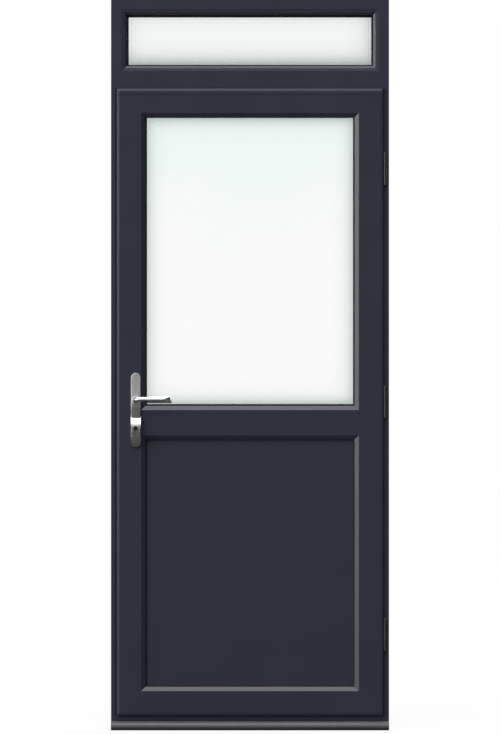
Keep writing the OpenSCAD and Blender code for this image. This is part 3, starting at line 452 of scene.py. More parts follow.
@dataclass
class Patterns:
    """The shader node groups that several finishes share, each built once.

    Cells and streaks are sized as shares of their group's own scale. The level span is the upward part of the
    normal over which dust comes to lie. Each place of a painted reflection line near a pane's edge is a
    multiple of the line's distance, with its strength.
    """

    cell_share: float = 0.6
    cell_height: float = 0.5
    drift_scale: float = 6.0
    streak_share: float = 0.09
    level_span: Span = (0.55, 0.98)
    patch_scale: float = 38.0
    patch_span: Span = (0.35, 0.7)
    patch_least: float = 0.15
    # Painted reflection lines near a pane's edges: their half width, and their places.
    painted_line_half: float = 2.6 * MM
    painted_line_places: tuple[Span, ...] = ((1.0, 1.0), (2.0, 0.6))

    def __post_init__(self) -> None:
        """Builds every group."""
        self.grain = self._grain()
        self.brushing = self._brushing()
        self.settled_dust = self._settled_dust()
        self.painted_edge_shade_lines = self._painted_edge_shade_lines()

    @staticmethod
    def _group(
        name: str, vectors: Sequence[str], numbers: Sequence[str], results: Sequence[str]
    ) -> tuple[bpy.types.NodeTree, Wiring, bpy.types.NodeOutputs, bpy.types.NodeInputs]:
        """Starts a group with named sockets.

        Args:
            name: name of the group.
            vectors: names of the inputs that are vectors.
            numbers: names of the inputs that are numbers.
            results: names of the outputs, which are numbers.

        Returns:
            The group, its wiring, the sockets that it starts from and those that it ends in.
        """
        tree = bpy.data.node_groups.new(name, "ShaderNodeTree")
        sockets = [(label, "INPUT", "NodeSocketVector") for label in vectors]
        sockets += [(label, "INPUT", "NodeSocketFloat") for label in numbers]
        sockets += [(label, "OUTPUT", "NodeSocketFloat") for label in results]
        for label, way, kind in sockets:
            tree.interface.new_socket(name=label, in_out=way, socket_type=kind)
        w = Wiring(tree)
        return tree, w, w.put("NodeGroupInput").outputs, w.put("NodeGroupOutput").inputs

    def _grain(self) -> bpy.types.NodeTree:
        """Fine moulded grain: small noise over rounded cells, and a slow drift of tone.

        Returns:
            The group.
        """
        tree, w, start, end = self._group("fine_grain", ["Vector"], ["Scale"], ["Height", "Tone"])
        place, scale = start["Vector"], start["Scale"]
        cell_scale = w.math("MULTIPLY", scale, self.cell_share)
        fine = w.put("ShaderNodeTexNoise", Vector=place, Scale=scale, Detail=3.0, Roughness=0.6)
        cells = w.put("ShaderNodeTexVoronoi", Vector=place, Scale=cell_scale)
        slow = w.put("ShaderNodeTexNoise", Vector=place, Scale=self.drift_scale, Detail=4.0, Roughness=0.55)
        rounded = w.math("MULTIPLY", cells.outputs["Distance"], self.cell_height)
        w.feed(end["Height"], w.math("ADD", fine.outputs["Fac"], rounded))
        w.feed(end["Tone"], slow.outputs["Fac"])
        return tree

    def _brushing(self) -> bpy.types.NodeTree:
        """Brushed lines along the stretched axis of the vector, with wider soft streaks over them.

        Returns:
            The group.
        """
        tree, w, start, end = self._group("brushed_lines", ["Vector"], ["Scale"], ["Lines", "Streaks"])
        place, scale = start["Vector"], start["Scale"]
        wide = w.math("MULTIPLY", scale, self.streak_share)
        lines = w.put("ShaderNodeTexNoise", Vector=place, Scale=scale, Detail=2.0, Roughness=0.7)
        streaks = w.put("ShaderNodeTexNoise", Vector=place, Scale=wide, Detail=3.0)
        w.feed(end["Lines"], lines.outputs["Fac"])
        w.feed(end["Streaks"], streaks.outputs["Fac"])
        return tree

    def _settled_dust(self) -> bpy.types.NodeTree:
        """Dust that lies on what faces up, broken up by noise.

        Returns:
            The group.
        """
        tree, w, start, end = self._group("settled_dust", ["Vector"], [], ["Mask"])
        normal = w.put("ShaderNodeNewGeometry").outputs["Normal"]
        up = w.put("ShaderNodeSeparateXYZ", Vector=normal).outputs["Z"]
        patch = w.put(
            "ShaderNodeTexNoise", Vector=start["Vector"], Scale=self.patch_scale, Detail=6.0, Roughness=0.7
        )
        patches = w.ramp(patch.outputs["Fac"], self.patch_span, self.patch_least)
        w.feed(end["Mask"], w.math("MULTIPLY", w.ramp(up, self.level_span), patches))
        return tree

    def _painted_edge_shade_lines(self) -> bpy.types.NodeTree:
        """How close a point lies to the four edges of an upright rectangle, each edge with its own weight.

        The mask, which is the painted shade, falls off as the exponential of minus the gap over the reach. The
        lines are two thin bells at one and two line distances from each edge: a painted reflection of the sealed
        unit's rim between its panes.

        Returns:
            The group.
        """
        tree, w, start, end = self._group(
            "painted_edge_shade_lines", ["Vector", "Low", "High"], ["Reach", *EDGES, "Line"], ["Mask", "Lines"]
        )
        from_low = w.vectors("SUBTRACT", start["Vector"], start["Low"]).outputs[0]
        to_high = w.vectors("SUBTRACT", start["High"], start["Vector"]).outputs[0]
        low = w.put("ShaderNodeSeparateXYZ", Vector=from_low).outputs
        high = w.put("ShaderNodeSeparateXYZ", Vector=to_high).outputs
        kept, lines = 1.0, 0.0
        for edge, gap in zip(EDGES, (low["X"], high["X"], low["Z"], high["Z"])):
            near = w.math("EXPONENT", w.math("DIVIDE", w.math("MULTIPLY", gap, -1.0), start["Reach"]))
            lost = w.math("MULTIPLY", near, start[edge])
            kept = w.math("MULTIPLY", kept, w.math("SUBTRACT", 1.0, lost))
            for times, share in self.painted_line_places:
                off = w.math("SUBTRACT", gap, w.math("MULTIPLY", start["Line"], times))
                bell = w.ramp(w.math("ABSOLUTE", off), (0.0, self.painted_line_half), share, 0.0)
                lines = w.math("MAXIMUM", lines, bell)
        w.feed(end["Mask"], w.math("SUBTRACT", 1.0, kept))
        w.feed(end["Lines"], lines)
        return tree


@dataclass(frozen=True)
class Finish:
    """A finish of one kind of material; its fields are the values of its shader."""

    name: str
    colour: Colour

    def start(self) -> tuple[bpy.types.Material, Wiring, bpy.types.Node, bpy.types.NodeSocket]:
        """Makes an empty material.

        Returns:
            The material, its wiring, its Principled shader and the socket of the object coordinates.
        """
        material = bpy.data.materials.new(self.name)
        material.use_nodes = True
        w = Wiring(material.node_tree)
        shader = material.node_tree.nodes["Principled BSDF"]
        return material, w, shader, w.put("ShaderNodeTexCoord").outputs["Object"]

    def shades(self, dark: float, light: float, palest: float = 0.98) -> tuple[Colour, Colour]:
        """The colour times a dark and a light factor, and no paler than the palest."""
        return tuple(dark * c for c in self.colour), tuple(min(light * c, palest) for c in self.colour)

    def build(self, patterns: Patterns) -> bpy.types.Material:
        """Makes the material from the shared patterns."""
        raise NotImplementedError


@dataclass(frozen=True)
class DustyFinish(Finish):
    """A finish with a share of settled dust, which is paler and rougher."""

    dust: float = 0.0
    dust_colour: Colour = (0.3, 0.29, 0.27)
    dust_rough: float = 0.4

    def dusted(
        self, w: Wiring, mask: bpy.types.NodeSocket, tone: object, rough: object
    ) -> tuple[bpy.types.NodeSocket, bpy.types.NodeSocket]:
        """Lays dust over a colour and its roughness.

        Args:
            w: wiring of the material.
            mask: where dust lies.
            tone: the colour below it.
            rough: the roughness below it.

        Returns:
            The colour and the roughness with the dust.
        """
        lying = w.math("MULTIPLY", mask, self.dust)
        rougher = w.math("ADD", rough, w.math("MULTIPLY", lying, self.dust_rough))
        return w.blend(lying, tone, self.dust_colour), rougher


@dataclass(frozen=True)
class FoilFinish(DustyFinish):
    """Smooth coloured foil on plastic profiles, with a fine grain and a little dust on its ledges."""

    dust: float = 0.07
    dust_colour: Colour = (0.24, 0.235, 0.22)
    dust_rough: float = 0.5
    drift: float = 0.035
    roughness: float = 0.37
    rough_spread: float = 0.05
    grain_scale: float = 1100.0
    grain_height: float = 0.00004
    relief: float = 0.35

    def build(self, patterns: Patterns) -> bpy.types.Material:
        """Makes the material.

        Args:
            patterns: the shared node groups.

        Returns:
            The material.
        """
        material, w, shader, place = self.start()
        grain = w.group(patterns.grain, Vector=place, Scale=self.grain_scale)
        fallen = w.group(patterns.settled_dust, Vector=place)
        tone = w.shade(grain["Tone"], *self.shades(1.0 - self.drift, 1.0 + self.drift))
        rough = w.about(grain["Tone"], self.roughness, self.rough_spread)
        w.coat(shader, *self.dusted(w, fallen["Mask"], tone, rough))
        w.relief(shader, grain["Height"], self.relief, self.grain_height)
        return material


@dataclass(frozen=True)
class RubberFinish(Finish):
    """Black extruded rubber with a bloom, which is paler and rougher."""

    roughness: float = 0.62
    specular: float = 0.5
    bloom: float = 0.6
    bloom_span: Span = (0.4, 0.75)
    bloom_gain: float = 2.2
    bloom_grey: float = 0.006
    bloom_rough: float = 0.2
    grain_scale: float = 1600.0
    grain_height: float = 0.00006
    relief: float = 0.5

    def build(self, patterns: Patterns) -> bpy.types.Material:
        """Makes the material.

        Args:
            patterns: the shared node groups.

        Returns:
            The material.
        """
        material, w, shader, place = self.start()
        grain = w.group(patterns.grain, Vector=place, Scale=self.grain_scale)
        bloom = w.ramp(grain["Tone"], self.bloom_span, 0.0, self.bloom)
        paler = tuple(self.bloom_gain * c + self.bloom_grey for c in self.colour)
        least = self.roughness - 0.5 * self.bloom * self.bloom_rough
        rough = w.math("ADD", w.math("MULTIPLY", bloom, self.bloom_rough), least)
        w.coat(shader, w.blend(bloom, self.colour, paler), rough)
        shader.inputs["Specular IOR Level"].default_value = self.specular
        w.relief(shader, grain["Height"], self.relief, self.grain_height)
        return material


@dataclass(frozen=True)
class BrushedFinish(DustyFinish):
    """Bare or plated metal with brushed lines along one axis, which hands have polished below a height."""

    roughness: float = 0.4
    rough_spread: float = 0.16
    along: Point = (1.0, 1.0, 0.02)
    line_scale: float = 2600.0
    contrast: float = 0.12
    depth: float = 0.00002
    relief: float = 0.3
    worn_below: float = 0.0
    worn_fade: float = 0.03
    polish: float = 0.0

    def build(self, patterns: Patterns) -> bpy.types.Material:
        """Makes the material.

        Args:
            patterns: the shared node groups.

        Returns:
            The material.
        """
        material, w, shader, place = self.start()
        turned = w.put("ShaderNodeMapping", Vector=place, Scale=self.along).outputs["Vector"]
        brushed = w.group(patterns.brushing, Vector=turned, Scale=self.line_scale)
        tone = w.shade(brushed["Streaks"], *self.shades(1.0 - self.contrast, 1.0 + self.contrast))
        rough = w.about(brushed["Lines"], self.roughness, self.rough_spread)
        if self.polish:
            height = w.put("ShaderNodeSeparateXYZ", Vector=place).outputs["Z"]
            handled = w.ramp(height, (self.worn_below - self.worn_fade, self.worn_below), self.polish, 0.0)
            rough = w.math("SUBTRACT", rough, handled)
        if self.dust:
            fallen = w.group(patterns.settled_dust, Vector=place)
            tone, rough = self.dusted(w, fallen["Mask"], tone, rough)
        w.coat(shader, tone, rough)
        shader.inputs["Metallic"].default_value = 1.0
        w.relief(shader, brushed["Lines"], self.relief, self.depth)
        return material


@dataclass(frozen=True)
class CoatedFinish(Finish):
    """Powder coat or moulded plastic: a fine orange peel over one colour."""

    roughness: float = 0.45
    rough_spread: float = 0.1
    darker: float = 0.85
    lighter: float = 1.2
    peel_scale: float = 700.0
    peel_height: float = 0.00008
    relief: float = 0.4

    def build(self, patterns: Patterns) -> bpy.types.Material:
        """Makes the material.

        Args:
            patterns: the shared node groups.

        Returns:
            The material.
        """
        material, w, shader, place = self.start()
        grain = w.group(patterns.grain, Vector=place, Scale=self.peel_scale)
        tone = w.shade(grain["Tone"], *self.shades(self.darker, self.lighter))
        w.coat(shader, tone, w.about(grain["Tone"], self.roughness, self.rough_spread))
        w.relief(shader, grain["Height"], self.relief, self.peel_height)
        return material


@dataclass(frozen=True)
class PaneFinish(Finish):
    """Clear float glass with painted shade: a little darker and greener towards the edges.

    The shade's strengths are those of the left, the right, the bottom and the top edge. Thin lines near the
    edges are a painted reflection of the sealed unit's rim, and a green cast over the top part, above a wavy
    height, is a painted reflection.
    """

    # Painted shade towards the edges: its colour, the corners of the part it is measured from, its reach and its
    # strength at each edge.
    painted_shade_colour: Colour = (0.45, 0.52, 0.5)
    low: Point = (0.0, 0.0, 0.0)
    high: Point = (0.0, 0.0, 0.0)
    reach: float = 20 * MM
    painted_shade_weights: tuple[float, ...] = (0.0, 0.0, 0.0, 0.0)
    # Painted reflection lines of the sealed unit's rim: their distance from the edges, strength and colour.
    line: float = 9.5 * MM
    painted_line_depth: float = 0.0
    painted_line_colour: Colour = (0.2, 0.21, 0.21)
    # Painted reflection: a green cast over the top part, above a height whose edge fades and sways.
    painted_reflection_tint: Colour = (0.9, 0.98, 0.95)
    painted_reflection_from: float = 10.0
    painted_reflection_fade: Span = (0.1, 0.25)
    painted_reflection_sway: float = 0.5
    wave_scale: float = 2.4
    wave_height: float = 0.6 * MM
    relief: float = 0.15
    ior: float = 1.5

    def build(self, patterns: Patterns) -> bpy.types.Material:
        """Makes the material.

        Args:
            patterns: the shared node groups.

        Returns:
            The material.
        """
        material, w, shader, place = self.start()
        edges = dict(zip(EDGES, self.painted_shade_weights), Reach=self.reach, Line=self.line)
        band = w.group(patterns.painted_edge_shade_lines, Vector=place, Low=self.low, High=self.high, **edges)
        wave = w.put("ShaderNodeTexNoise", Vector=place, Scale=self.wave_scale, Detail=1.0).outputs["Fac"]
        # Painted reflection: a green cast over the pane's top part, whose lower edge sways with the wave.
        height = w.put("ShaderNodeSeparateXYZ", Vector=place).outputs["Z"]
        swayed = w.math("ADD", height, w.about(wave, 0.0, self.painted_reflection_sway))
        before, after = self.painted_reflection_fade
        painted_reflection_share = w.ramp(swayed, (self.painted_reflection_from - before, self.painted_reflection_from + after))
        clear = w.blend(painted_reflection_share, self.colour, self.painted_reflection_tint)
        # Painted shade: darker and greener towards the edges.
        shaded = w.blend(band["Mask"], clear, self.painted_shade_colour)
        # Painted reflection lines of the sealed unit's rim.
        painted_lines_share = w.math("MULTIPLY", band["Lines"], self.painted_line_depth)
        w.coat(shader, w.blend(painted_lines_share, shaded, self.painted_line_colour), 0.0)
        shader.inputs["IOR"].default_value = self.ior
        shader.inputs["Transmission Weight"].default_value = 1.0
        w.relief(shader, wave, self.relief, self.wave_height)
        return material


@dataclass
class Workshop:
    """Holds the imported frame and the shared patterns, and makes materials and pieces."""

    frame: dict
    patterns: Patterns

    def __post_init__(self) -> None:
        """Starts with no materials made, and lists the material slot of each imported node."""
        self.made: dict[str, bpy.types.Material] = {}
        self.slot_of = {row["node"]: row["material_slot"] for row in self.frame["record"]["subparts"]}

    def material(self, finish: Finish) -> bpy.types.Material:
        """The material of a finish, made on its first use.

        Args:
            finish: the finish.

        Returns:
            The material.
        """
        if finish.name not in self.made:
            self.made[finish.name] = finish.build(self.patterns)
        return self.made[finish.name]

    def dress(self, finish: Finish, *nodes: str) -> None:
        """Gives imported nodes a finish.

        Args:
            finish: the finish.
            nodes: names of the nodes.
        """
        for name in nodes:
            slots = self.frame["nodes"][name].data.materials
            slots.clear()
            slots.append(self.material(finish))
            log.info("node %s: %s", name, finish.name)

    def dress_slot(self, finish: Finish, slot: str) -> None:
        """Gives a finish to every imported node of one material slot."""
        self.dress(finish, *(node for node, its in self.slot_of.items() if its == slot))

    def add(self, shell: Shell, name: str, finish: Finish, body: Body, slot: str) -> bpy.types.Object:
        """Makes a new piece of a shell.

        Args:
            shell: the surface.
            name: name of the piece.
            finish: its finish.
            body: the body that it rides on.
            slot: the record's material slot that it belongs to; not used.

        Returns:
            The piece.
        """
        piece = shell.to_object(name)
        piece.data.materials.append(self.material(finish))
        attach(piece, body.value)
        log.info("piece %s: %s on %s, %d points", name, finish.name, body.value, len(shell.points))
        return piece


FOIL = FoilFinish("foil_anthracite", (0.0257, 0.0264, 0.0446))
GASKET = RubberFinish("rubber_black", (0.0045, 0.0045, 0.0052), specular=0.25)
# Matt black rubber for the leaf's lip; its darkness also paints the shade in the gap between leaf and frame.
LIP_AND_SHADE = RubberFinish("rubber_lip_and_painted_shade", (0.0035, 0.0035, 0.004), roughness=0.8, specular=0.12)
SPACER = BrushedFinish("spacer_grey", (0.36, 0.37, 0.39), roughness=0.5, line_scale=900.0)
PACKER = CoatedFinish("packer_blue", (0.07, 0.15, 0.28), roughness=0.4)
SILL = BrushedFinish("sill_satin", (0.175, 0.175, 0.184), roughness=0.7, along=(0.02, 1.0, 1.0), dust=0.15)
ZINC = BrushedFinish("zinc_plate", (0.42, 0.43, 0.45), roughness=0.42, line_scale=700.0, contrast=0.2)
BOLT = BrushedFinish("bolt_steel", (0.6, 0.61, 0.63), roughness=0.28)
KEEP = BrushedFinish("keep_satin", (0.5, 0.51, 0.53), roughness=0.4)
PLATE = BrushedFinish("handle_satin", (0.52, 0.52, 0.53), roughness=0.52)
# The cylinder's nickel and the plug's darker nickel are darkened as painted shade.
CYLINDER = BrushedFinish("cylinder_nickel_painted_shade", (0.2, 0.2, 0.205), roughness=0.5, line_scale=1400.0)
PLUG = BrushedFinish("plug_nickel_painted_shade", (0.06, 0.06, 0.062), roughness=0.5, line_scale=1400.0)
LEVER = BrushedFinish(
    "lever_satin_chrome", (0.72, 0.725, 0.74), roughness=0.24, along=(0.02, 1.0, 1.0), contrast=0.05
)
HINGE = CoatedFinish("hinge_coat", (0.016, 0.0165, 0.02), roughness=0.4)
CLEAR_PANE = PaneFinish("pane_clear", (0.99, 0.995, 0.993))
# The leaf's pane: painted edge shade, painted reflection lines and, above 1.65 m, a painted reflection cast.
LEAF_PANE = PaneFinish(
    "pane_leaf_painted_shade_reflection", (0.99, 0.992, 0.99), reach=18 * MM, painted_shade_weights=(0.72, 0.74, 1.0, 1.0), line=12 * MM,
    painted_line_depth=0.07, painted_reflection_from=1.65,
)
# The top light's pane: painted edge shade and painted reflection lines.
TOP_PANE = PaneFinish(
    "pane_top_light_painted_shade_reflection", (0.98, 0.992, 0.988), painted_shade_colour=(0.36, 0.41, 0.4), reach=26 * MM,
    painted_shade_weights=(0.22, 0.55, 0.95, 0.25), painted_line_depth=0.16,
)


@dataclass
class Profiles:
    """Frame, leaf, beads, panel and seals, with the welded mitres that show as thin lines.

    The hinges say where the lip round the leaf's edge has its gaps. The lip's matt black also paints the
    shade in the gap between leaf and frame, as a wider line on the lock side.
    """

    hinges: Hinges
    seam_width: float = 0.7 * MM
    seam_rise: float = 0.06 * MM
    frame_arris: float = 3 * MM
    frame_face: float = 34 * MM
    leaf_bevel: float = 8 * MM
    leaf_face: float = 79 * MM
    lip_depth: float = 2.7 * MM
    lip_back: float = 0.2 * MM
    lip_out: float = 2.4 * MM
    # The lock side's wider lip also paints the shade in the gap there.
    lock_lip_and_shade_out: float = 5 * MM
    hinge_clear: float = 1.1

    def build(self, shop: Workshop) -> None:
        """Dresses the profiles, draws the seams of their corners and adds the leaf's lip.

        Args:
            shop: where the pieces go.
        """
        shop.dress_slot(FOIL, "upvc")
        shop.dress_slot(GASKET, "seal")
        shop.dress_slot(ZINC, "zinc_steel")
        shop.dress_slot(SILL, "sill")
        low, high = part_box("frame_foot")[0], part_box("frame_head")[1]
        seams = []
        for y, facing in ((low.y, Facing.OUTSIDE), (high.y, Facing.INSIDE)):
            seams += self.corners(low, high, y, facing, (self.frame_arris, self.frame_face))
        shop.add(Shell.join(seams), "frame_weld_seams", FOIL, Body.FRAME, "upvc")
        low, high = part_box("leaf_bottom_rail")[0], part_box("leaf_top_rail")[1]
        seams = self.corners(low, high, low.y, Facing.OUTSIDE, (self.leaf_bevel, self.leaf_face))
        shop.add(Shell.join(seams), "leaf_weld_seams", FOIL, Body.LEAF, "upvc")
        # The leaf's lip, whose matt black also paints the shade in the gap between leaf and frame.
        shop.add(Shell.join(self.edge_lips(low, high)), "leaf_edge_lip_and_shade", LIP_AND_SHADE, Body.LEAF, "seal")

    def edge_lips(self, low: Vector, high: Vector) -> list[Shell]:
        """The rubber lip that shows round the leaf's edge, wider on the lock side, with gaps at the hinges.

        Args:
            low: lowest corner of the leaf.
            high: highest corner of the leaf.

        Returns:
            One half-round strip for each stretch of the edge.
        """
        # The matt black lip also paints the shade in the gap between leaf and frame.
        y, wide, out = -0.5 * self.lip_depth - self.lip_back, self.lip_depth, self.lip_out
        gap = self.hinge_clear * self.hinges.half_length
        ends = [low.z] + [z + side for z in self.hinges.middles() for side in (-gap, gap)] + [high.z]
        lips = [
            ridge((low.x, y, low.z), (low.x, y, high.z), Facing.LEFT, wide, self.lock_lip_and_shade_out),
            ridge((low.x, y, high.z), (high.x, y, high.z), Facing.UP, wide, out),
            ridge((low.x, y, low.z), (high.x, y, low.z), Facing.DOWN, wide, out),
        ]
        for a, b in zip(ends[::2], ends[1::2]):
            lips.append(ridge((high.x, y, a), (high.x, y, b), Facing.RIGHT, wide, out))
        return lips

    def corners(self, low: Vector, high: Vector, y: float, facing: Facing, span: Span) -> list[Shell]:
        """The four mitre lines of one face.

        Args:
            low: lowest corner of the rectangle.
            high: highest corner of the rectangle.
            y: plane of the face.
            facing: direction of the face.
            span: distances from the outer edge where the lines start and end.

        Returns:
            One ridge for each corner.
        """
        lines = []
        for x, right in ((low.x, 1), (high.x, -1)):
            for z, up in ((low.z, 1), (high.z, -1)):
                start, end = ((x + right * inset, y, z + up * inset) for inset in span)
                lines.append(ridge(start, end, facing, self.seam_width, self.seam_rise))
        return lines


@dataclass
class Glazing:
    """The sealed units of the leaf and the top light, and the rounded gaskets of the leaf's unit and panel.

    The lips are those on the left, the right, the bottom and the top. The covers are what gaskets with an even
    lip hide of each edge of a pane.
    """

    glass_cover: float = 13 * MM
    toplight_cover: float = 17 * MM
    gasket_t: float = 3 * MM
    hidden: float = 5.5 * MM
    even_lip: float = 4.5 * MM
    glass_lips: tuple[float, ...] = (4.5 * MM, 4.5 * MM, 5.5 * MM, 1 * MM)
    panel_lips: tuple[float, ...] = (4.5 * MM, 4.5 * MM, 4.5 * MM, 1.6 * MM)

    def build(self, shop: Workshop) -> None:
        """Dresses panes, spacers and packers, and forms the gaskets.

        Args:
            shop: where the pieces go.
        """
        shop.dress_slot(SPACER, "spacer")
        shop.dress_slot(PACKER, "packer")
        raised = self.even_lip - self.glass_lips[EDGES.index("Top")]
        leaf_pane = self.fitted(LEAF_PANE, "glass_outer_pane", self.glass_cover, raised)
        top_pane = self.fitted(TOP_PANE, "toplight_outer_pane", self.toplight_cover)
        shop.dress(leaf_pane, "glass_outer_pane")
        shop.dress(top_pane, "toplight_outer_pane")
        shop.dress(CLEAR_PANE, "glass_inner_pane", "toplight_inner_pane")
        for node, lips in (("glass_gaskets", self.glass_lips), ("panel_gaskets", self.panel_lips)):
            low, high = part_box(node)
            outer = self.strip(low, high, low.y, low.y + self.gasket_t, lips)
            inner = self.strip(low, high, high.y, high.y - self.gasket_t, lips)
            piece = shop.add(Shell.join([outer, inner]), f"{node}_form", GASKET, Body.LEAF, "seal")
            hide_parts(node)

    @staticmethod
    def fitted(pane: PaneFinish, node: str, cover: float, raised: float = 0.0) -> PaneFinish:
        """Fits a pane's finish to the part of it that its gaskets leave free.

        Args:
            pane: the finish.
            node: the pane.
            cover: what the gaskets hide of each edge.
            raised: how much less they hide of the top edge.

        Returns:
            The finish with the corners of that part.
        """
        low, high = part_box(node)
        inset = Vector((cover, 0.0, cover))
        top = Vector((0.0, 0.0, raised))
        return replace(pane, low=tuple(low + inset), high=tuple(high - inset + top))

    def strip(self, low: Vector, high: Vector, face: float, glass: float, lips: Sequence[float]) -> Shell:
        """Carries one gasket round the four corners of a unit.

        The section is a flat strip behind the profile, with a free lip that thins out to the glass on a
        quarter ellipse: the lip times the sine of an angle along the glass, and the thickness times its cosine
        away from it.

        Args:
            low: lowest corner of the gasket.
            high: highest corner of the gasket.
            face: depth of the side that the profile presses on.
            glass: depth of the side that lies on the unit.
            lips: widths of the free lip on the left, the right, the bottom and the top.

        Returns:
            The gasket's shell.
        """
        angle = np.linspace(0.0, QUARTER_TURN, 9)
        behind = np.concatenate([[0.0, 0.0], np.full(len(angle), self.hidden)])
        free = np.concatenate([[0.0, 0.0], np.sin(angle)])
        depth = np.concatenate([[glass, face], glass + (face - glass) * np.cos(angle)])
        left, right, bottom, top = (behind + lip * free for lip in lips)
        x = np.stack([low.x + left, high.x - right, high.x - right, low.x + left])
        z = np.stack([low.z + bottom, low.z + bottom, high.z - top, high.z - top])
        return Shell.from_loop(np.stack([x, np.broadcast_to(depth, x.shape), z], -1))


@dataclass
class LeverPair:
    """The two levers on their square spindle, and the rings that their necks turn in.

    The ridge and the flat are what the section's exponent, 2 on the neck, gains on the grip and where the grip
    turns back. The neck starts to open a little before the elbow, and the grip starts to flatten a little
    before it turns back.
    """

    half_thick: float = 6 * MM
    neck_r: float = 9 * MM
    elbow_r: float = 10 * MM
    return_r: float = 9 * MM
    dome: float = 4.5 * MM
    dome_end: float = 0.997
    ridge: float = -0.35
    flat: float = 4.0
    lift: float = 1.6 * MM
    under: float = 5.6 * MM
    opens_before: float = 6 * MM
    open_after: float = 5 * MM
    flat_before: float = 9 * MM
    flat_after: float = 5 * MM
    plate_out: float = 7.7 * MM
    ring_r: float = 12.5 * MM
    ring_rise: float = 1.4 * MM
    ring_gap: float = 0.5 * MM
    ring_sunk: float = 0.3 * MM

    def build(self, shop: Workshop) -> None:
        """Makes both levers and their rings.

        Args:
            shop: where the pieces go.
        """
        for side, facing, away in (("outer", Facing.OUTSIDE, -1), ("inner", Facing.INSIDE, 1)):
            node = f"{side}_lever"
            low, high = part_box(node)
            foot_y = low.y if facing is Facing.INSIDE else high.y
            half_height = 0.5 * (high.z - low.z)
            x, z = low.x + half_height, 0.5 * (low.z + high.z)
            lever = self.lever(facing, (x, foot_y, z), high.x - x, high.y - low.y, half_height)
            piece = shop.add(lever, f"{node}_form", LEVER, Body.LEVERS, "lever")
            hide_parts(node)
            ring = self.ring(facing, (x, foot_y + away * self.plate_out, z))
            shop.add(ring, f"{side}_plate_neck_ring", PLATE, Body.LEAF, "handle")

    def middle_line(self, run: float, out: float) -> tuple[np.ndarray, np.ndarray]:
        """The line through the middle of a lever.

        It runs out along the neck, turns through a quarter circle into the grip, and turns back through another
        at the free end.

        Args:
            run: distance of the grip's end from the neck's axis.
            out: distance of the grip's middle from the foot.

        Returns:
            The line's distances along the leaf and away from it.
        """
        neck = np.linspace(0.0, out - self.elbow_r, 8)[:-1]
        elbow = np.linspace(0.0, QUARTER_TURN, 14)
        grip = np.linspace(self.elbow_r, run, 24)[1:-1]
        back = QUARTER_TURN * (1 - (1 - np.linspace(0.0, 1.0, 26)) ** 2)
        elbow_along, elbow_away = self.elbow_r * (1 - np.cos(elbow)), self.elbow_r * (1 - np.sin(elbow))
        back_along, back_away = self.return_r * np.sin(back), self.return_r * (1 - np.cos(back))
        along = np.concatenate([0 * neck, elbow_along, grip, run + back_along])
        away = np.concatenate([neck, out - elbow_away, 0 * grip + out, out - back_away])
        return along, away

    def lever(
        self, facing: Facing, foot: Sequence[float], reach: float, depth: float, half_height: float
    ) -> Shell:
        """Carries an oval section along the lever's middle line.

        The section is a superellipse: a circle on the neck, and on the grip an upright lens, taller above its
        ridges than below them, which flattens to a rounded bar where it turns back. Near the free end it
        shrinks with the square root of 1 - t2, so that the end is a dome. The inside lever is the same casting,
        turned half round about the spindle.

        Args:
            facing: the side of the leaf that the lever is on.
            foot: where the neck's axis meets the plate.
            reach: distance of the lever's free end from that axis.
            depth: distance of the grip's face from the foot.
            half_height: half the height of the grip.

        Returns:
            The lever's shell.
        """
        out = depth - self.half_thick
        along, away = self.middle_line(reach - self.return_r - self.half_thick, out)
        tangent = np.stack([np.gradient(along), np.gradient(away)], -1)
        tangent /= np.linalg.norm(tangent, axis=1, keepdims=True)
        length = np.concatenate([[0.0], np.cumsum(np.hypot(np.diff(along), np.diff(away)))])
        opened = smoothstep(out - self.elbow_r - self.opens_before, out + self.open_after, length)
        bend = length[-1] - QUARTER_TURN * self.return_r
        flattened = smoothstep(bend - self.flat_before, bend + self.flat_after, length)
        into_dome = np.clip((length - length[-1] + self.dome) / self.dome, 0.0, self.dome_end)
        shrink = np.sqrt(1 - into_dome**2)
        thick, above, below = (
            ((self.neck_r + opened * (half - self.neck_r)) * shrink)[:, None]
            for half in (self.half_thick, half_height - self.lift, self.under)
        )
        power = 2.0 / (2.0 + self.ridge * opened + (self.flat - self.ridge) * flattened)[:, None]
        angle = around(56)[None, :]
        side = thick * np.sign(np.cos(angle)) * abs(np.cos(angle)) ** power
        rise = np.sign(np.sin(angle)) * abs(np.sin(angle)) ** power
        up = np.where(rise > 0, above, below) * rise + self.lift * opened[:, None]
        across = along[:, None] - side * tangent[:, 1:]
        grid = np.stack([across, up, away[:, None] + side * tangent[:, :1]], -1)
        if facing is Facing.INSIDE:
            grid[..., :2] *= -1.0
        return Shell.from_grid(facing.place(grid, foot))

    def ring(self, facing: Facing, at: Sequence[float]) -> Shell:
        """Turns a quarter round about the neck's axis, as a low open ring.

        Args:
            facing: the side of the leaf that the ring is on.
            at: where the neck's axis meets the plate's face.

        Returns:
            The ring's shell.
        """
        angle = np.linspace(0.0, QUARTER_TURN, 8)
        turn = around(56)[:, None]
        width = self.ring_r - self.neck_r - self.ring_gap
        outer = np.stack([self.ring_r - width * (1 - np.cos(angle)), self.ring_rise * np.sin(angle)], -1)
        foot, inner = ([[radius, -self.ring_sunk]] for radius in (self.ring_r, self.ring_r - width))
        radius, height = np.concatenate([foot, outer, inner]).T
        grid = np.stack([radius * np.cos(turn), radius * np.sin(turn), height + 0 * turn], -1)
        return Shell.from_loop(facing.place(grid, at))


